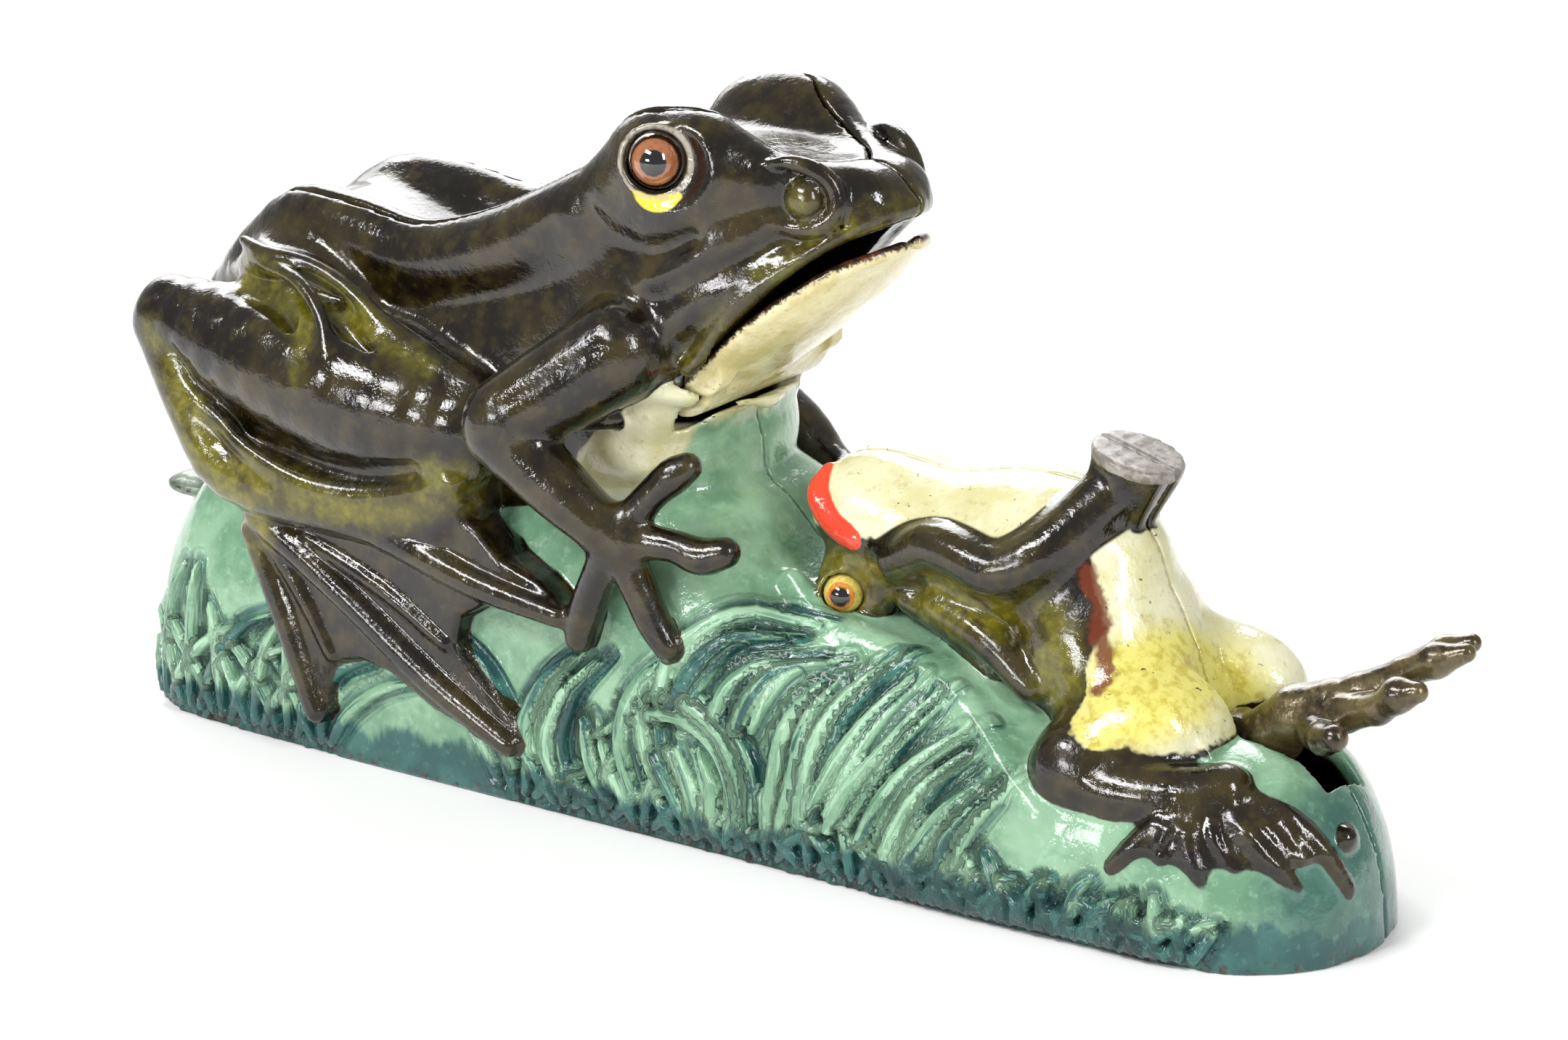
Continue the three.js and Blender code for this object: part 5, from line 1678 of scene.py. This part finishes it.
def build_lever(material):
    low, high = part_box("lever")
    low, high = low / MM, high / MM
    pivot = pin_place("lever_pivot_pin")
    field = Field((low.x - 2, -6.5, low.z - 2), (high.x + 2, 6.5, high.z + 2), 0.42)
    half = 1.6
    tip = low.x
    outline = [(-73, 24.6), (-73, 30.6), (-96, 28.4), (-103, 28.1), (-108, 28.2), (tip + 1, 27),
               (-108, 25.4), (-101, 24.6)]
    field.join(plate(outline, -half, half, 0.8))
    field.join(ellipsoid((tip + 5.2, 0, 26.9), (5.2, 4.4, 1.6)), 1.2)
    field.join(rod(pivot, -half, half, 4.4), 0.6)
    for node, r in (("lever_lift_pin", 2.8), ("lever_push_pin", 2.6)):
        pin = pin_place(node)
        field.join(plate(strip(pivot, pin, 0.75 * r), -half, half, 0.6), 0.6)
        field.join(rod(pin, -half, half, r), 0.6)
        field.cut(rod(pin, -9, 9, LINK_BORE))
    field.cut(rod(pivot, -9, 9, PIVOT_BORE))
    cast_piece("lever_skin", field, "lever_body", "lever", material)


PIN_BODIES = {
    "lever_pivot_pin": "bank", "jaw_pivot_pin": "bank", "kicker_pivot_pin": "bank",
    "lever_lift_pin": "lever_body", "lever_push_pin": "lever_body",
    "jaw_tail_pin": "jaw_body", "kicker_tail_pin": "kicker_body",
}


def build_pins(material):
    """Each pin is chamfered at both ends, with a peened dome."""
    for node, body in PIN_BODIES.items():
        middle, size = centre_of(node)
        r = size.z / 2
        long = size.y
        profile = [(0, 0), (0.1, 0.5 * r), (0.25, 0.85 * r), (0.5, r), (long / 2, r), (long - 0.5, r),
                   (long - 0.25, 0.85 * r), (long - 0.1, 0.5 * r), (long, 0)]
        piece = turned(node + "_turned", profile, (middle.x, middle.y - long / 2, middle.z), (0, 1, 0), 32)
        place_piece(piece, body, node, material)


def build_spring(node, start, direction, length, radius, wire, turns, material):
    """A coil of round wire with closed ends."""
    axis = Vector(direction)
    u, v = Vector((axis.y, axis.z, axis.x)), Vector((axis.z, axis.x, axis.y))
    per_turn = 28
    steps = int(turns * per_turn)
    curve = bpy.data.curves.new(node + "_coil", "CURVE")
    curve.dimensions = "3D"
    curve.bevel_depth = wire * MM
    curve.bevel_resolution = 4
    curve.use_fill_caps = True
    line = curve.splines.new("POLY")
    line.points.add(steps)
    for i in range(steps + 1):
        share = i / steps
        eased = share - 0.06 * math.sin(2 * math.pi * share) / math.pi
        turn = 2 * math.pi * i / per_turn
        place = Vector(start) + axis * length * eased + (u * math.cos(turn) + v * math.sin(turn)) * radius
        line.points[i].co = (*(place * MM), 1)
    place_piece(add_object(node + "_coil", curve), "bank", node, material)


def build_springs(material):
    build_spring("lever_spring", (-52, 0, 4.2), (0, 0, 1), 15, 2.2, 0.42, 5.5, material)
    build_spring("push_rod_spring", (10.2, -8.6, 7.4), (1, 0, 0), 21.6, 2.45, 0.4, 6, material)


def build_screws(material):
    """Round-headed screws with a driver's slot, and a thread on the shank."""
    for node in (*HALF_SCREWS, "back_screw", "plate_screw_front", "plate_screw_rear"):
        middle, size = centre_of(node)
        plate_screw = node.startswith("plate")
        long = size.z if plate_screw else size.y
        head_r = size.x / 2
        shank_r = 1.2 if plate_screw else 1.5
        axis = Vector((0, 0, -1)) if plate_screw else Vector((0, 1, 0))
        base = middle - axis * long / 2
        head = long - (1.3 if plate_screw else 2.0)
        profile = [(0, 0), (0.5, 0.5 * shank_r)]
        threads = int((head - 1.5) / 0.9)
        for i in range(threads):
            profile += [(0.9 + i * 0.9, shank_r - 0.22), (1.35 + i * 0.9, shank_r)]
        profile += [(head, shank_r), (head + 0.05, head_r - 0.15), (head + 0.25, head_r)]
        crown = long - head - 0.25
        for i in range(1, 8):
            turn = math.pi / 2 * i / 8
            profile.append((head + 0.25 + crown * math.sin(turn), head_r * math.cos(turn) ** 0.6))
        profile.append((long, 0))
        piece = turned(node + "_turned", profile, base, axis, 40)
        cut_slot(piece, base + axis * long, axis, head_r)
        place_piece(piece, "bank", node, material)


def cut_slot(piece, top, axis, head_r):
    """Saws the driver's slot across a screw's head."""
    side = Vector((0.8, 0, 0.6)) if abs(axis.y) > 0.5 else Vector((0.8, 0.6, 0))
    across = axis.cross(side).normalized()
    half = (head_r + 1, 0.42, 0.75)
    corners = [
        (top + side * sx * half[0] + across * sy * half[1] + axis * sz * half[2]) * MM
        for sx in SIDES for sy in SIDES for sz in SIDES
    ]
    faces = [(0, 1, 3, 2), (4, 6, 7, 5), (0, 4, 5, 1), (2, 3, 7, 6), (0, 2, 6, 4), (1, 5, 7, 3)]
    mesh = bpy.data.meshes.new("saw")
    mesh.from_pydata(corners, [], faces)
    mesh.update()
    saw = add_object("saw", mesh)
    cutter = piece.modifiers.new("slot", "BOOLEAN")
    cutter.operation = "DIFFERENCE"
    cutter.solver = "EXACT"
    cutter.object = saw
    bpy.context.view_layer.objects.active = piece
    bpy.ops.object.modifier_apply(modifier=cutter.name)
    bpy.data.objects.remove(saw)


def dress_node(node, material):
    """A CAD node that keeps its shape gets its finish."""
    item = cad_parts[node]
    item.data.materials.clear()
    item.data.materials.append(material)


# ---- Stage ----
def build_stage():
    """A pale floor that curves up behind the bank."""
    paint = Paint("pale_floor")
    cloudy = paint.noise(400, 2)
    color = paint.blend(cloudy, 0.3, 0.7, (250, 250, 249), (246, 246, 245))
    paint.finish(color, 0.75, specular=0.2)
    mesh = bpy.data.meshes.new("floor")
    reach, bend, radius, rise = 3.0, 1.2, 0.8, 2.4
    rows = [(-reach, 0.0)]
    for i in range(13):
        turn = math.pi / 2 * i / 12
        rows.append((bend + radius * math.sin(turn), radius * (1 - math.cos(turn))))
    rows.append((bend + radius, rise))
    points, faces = [], []
    back = Vector((-math.sin(AZIMUTH), math.cos(AZIMUTH), 0))
    across = Vector((math.cos(AZIMUTH), math.sin(AZIMUTH), 0))
    for along, up in rows:
        for side in SIDES:
            points.append(back * along + across * side * reach + Vector((0, 0, up)))
    for i in range(len(rows) - 1):
        faces.append((2 * i, 2 * i + 1, 2 * i + 3, 2 * i + 2))
    mesh.from_pydata(points, [], faces)
    mesh.shade_smooth()
    floor = add_object("floor", mesh)
    floor.data.materials.append(paint.material)


def softbox(name, place, aim, size, power):
    """A rectangular light, in metres and watts."""
    light = bpy.data.lights.new(name, "AREA")
    light.shape = "RECTANGLE"
    light.size, light.size_y = size
    light.energy = power
    item = add_object(name, light)
    item.location = place
    item.rotation_euler = (Vector(aim) - Vector(place)).to_track_quat("-Z", "Y").to_euler()


def build_light():
    world = bpy.data.worlds.new("studio")
    world.use_nodes = True
    shade = world.node_tree.nodes["Background"]
    shade.inputs["Color"].default_value = (1, 1, 1, 1)
    shade.inputs["Strength"].default_value = 0.38
    bpy.context.scene.world = world
    aim = (0, 0, 0.05)
    softbox("key", (-0.25, -0.7, 0.8), aim, (0.5, 0.2), 7.5)
    softbox("front", (-0.15, -0.95, 0.28), aim, (0.3, 0.14), 2.8)
    softbox("side", (0.9, -0.3, 0.6), aim, (0.16, 0.5), 5)
    softbox("back", (-0.6, 0.75, 0.8), aim, (0.9, 0.6), 10)
    softbox("wall", (-0.9, 1.0, 0.5), (-0.57, 0.95, 0.2), (1.2, 0.6), 6)


def build_camera():
    """Looks at the bank's middle, with the frame a little right of and below it."""
    elevation, away = math.radians(17), 0.75
    aim = Vector((0, 0, 0.05))
    level = math.cos(elevation)
    back = Vector((math.sin(AZIMUTH) * level, -math.cos(AZIMUTH) * level, math.sin(elevation)))
    camera = bpy.data.cameras.new("camera")
    camera.sensor_width = 36
    camera.lens = 122.67
    camera.shift_x = 0.0103
    camera.shift_y = -0.0419
    camera.clip_start = 0.01
    item = add_object("camera", camera)
    item.location = aim + back * away
    item.rotation_euler = (-back).to_track_quat("-Z", "Y").to_euler()
    bpy.context.scene.camera = item


build_camera()
build_castings(casting_paint())
build_jaw(jaw_paint())
build_kicker(leg_paint())
build_lever(lever_paint())
build_eyes()
pin_steel = steel("dull_steel", 150, 0.6)
build_pins(pin_steel)
build_springs(pin_steel)
build_screws(steel("screw_steel", 110, 0.55))
iron = cast_iron()
for node in ("base_plate", "trap_cover", "lift_rod", "push_rod"):
    dress_node(node, iron)
build_stage()
build_light()
bpy.context.scene.view_settings.view_transform = "Standard"
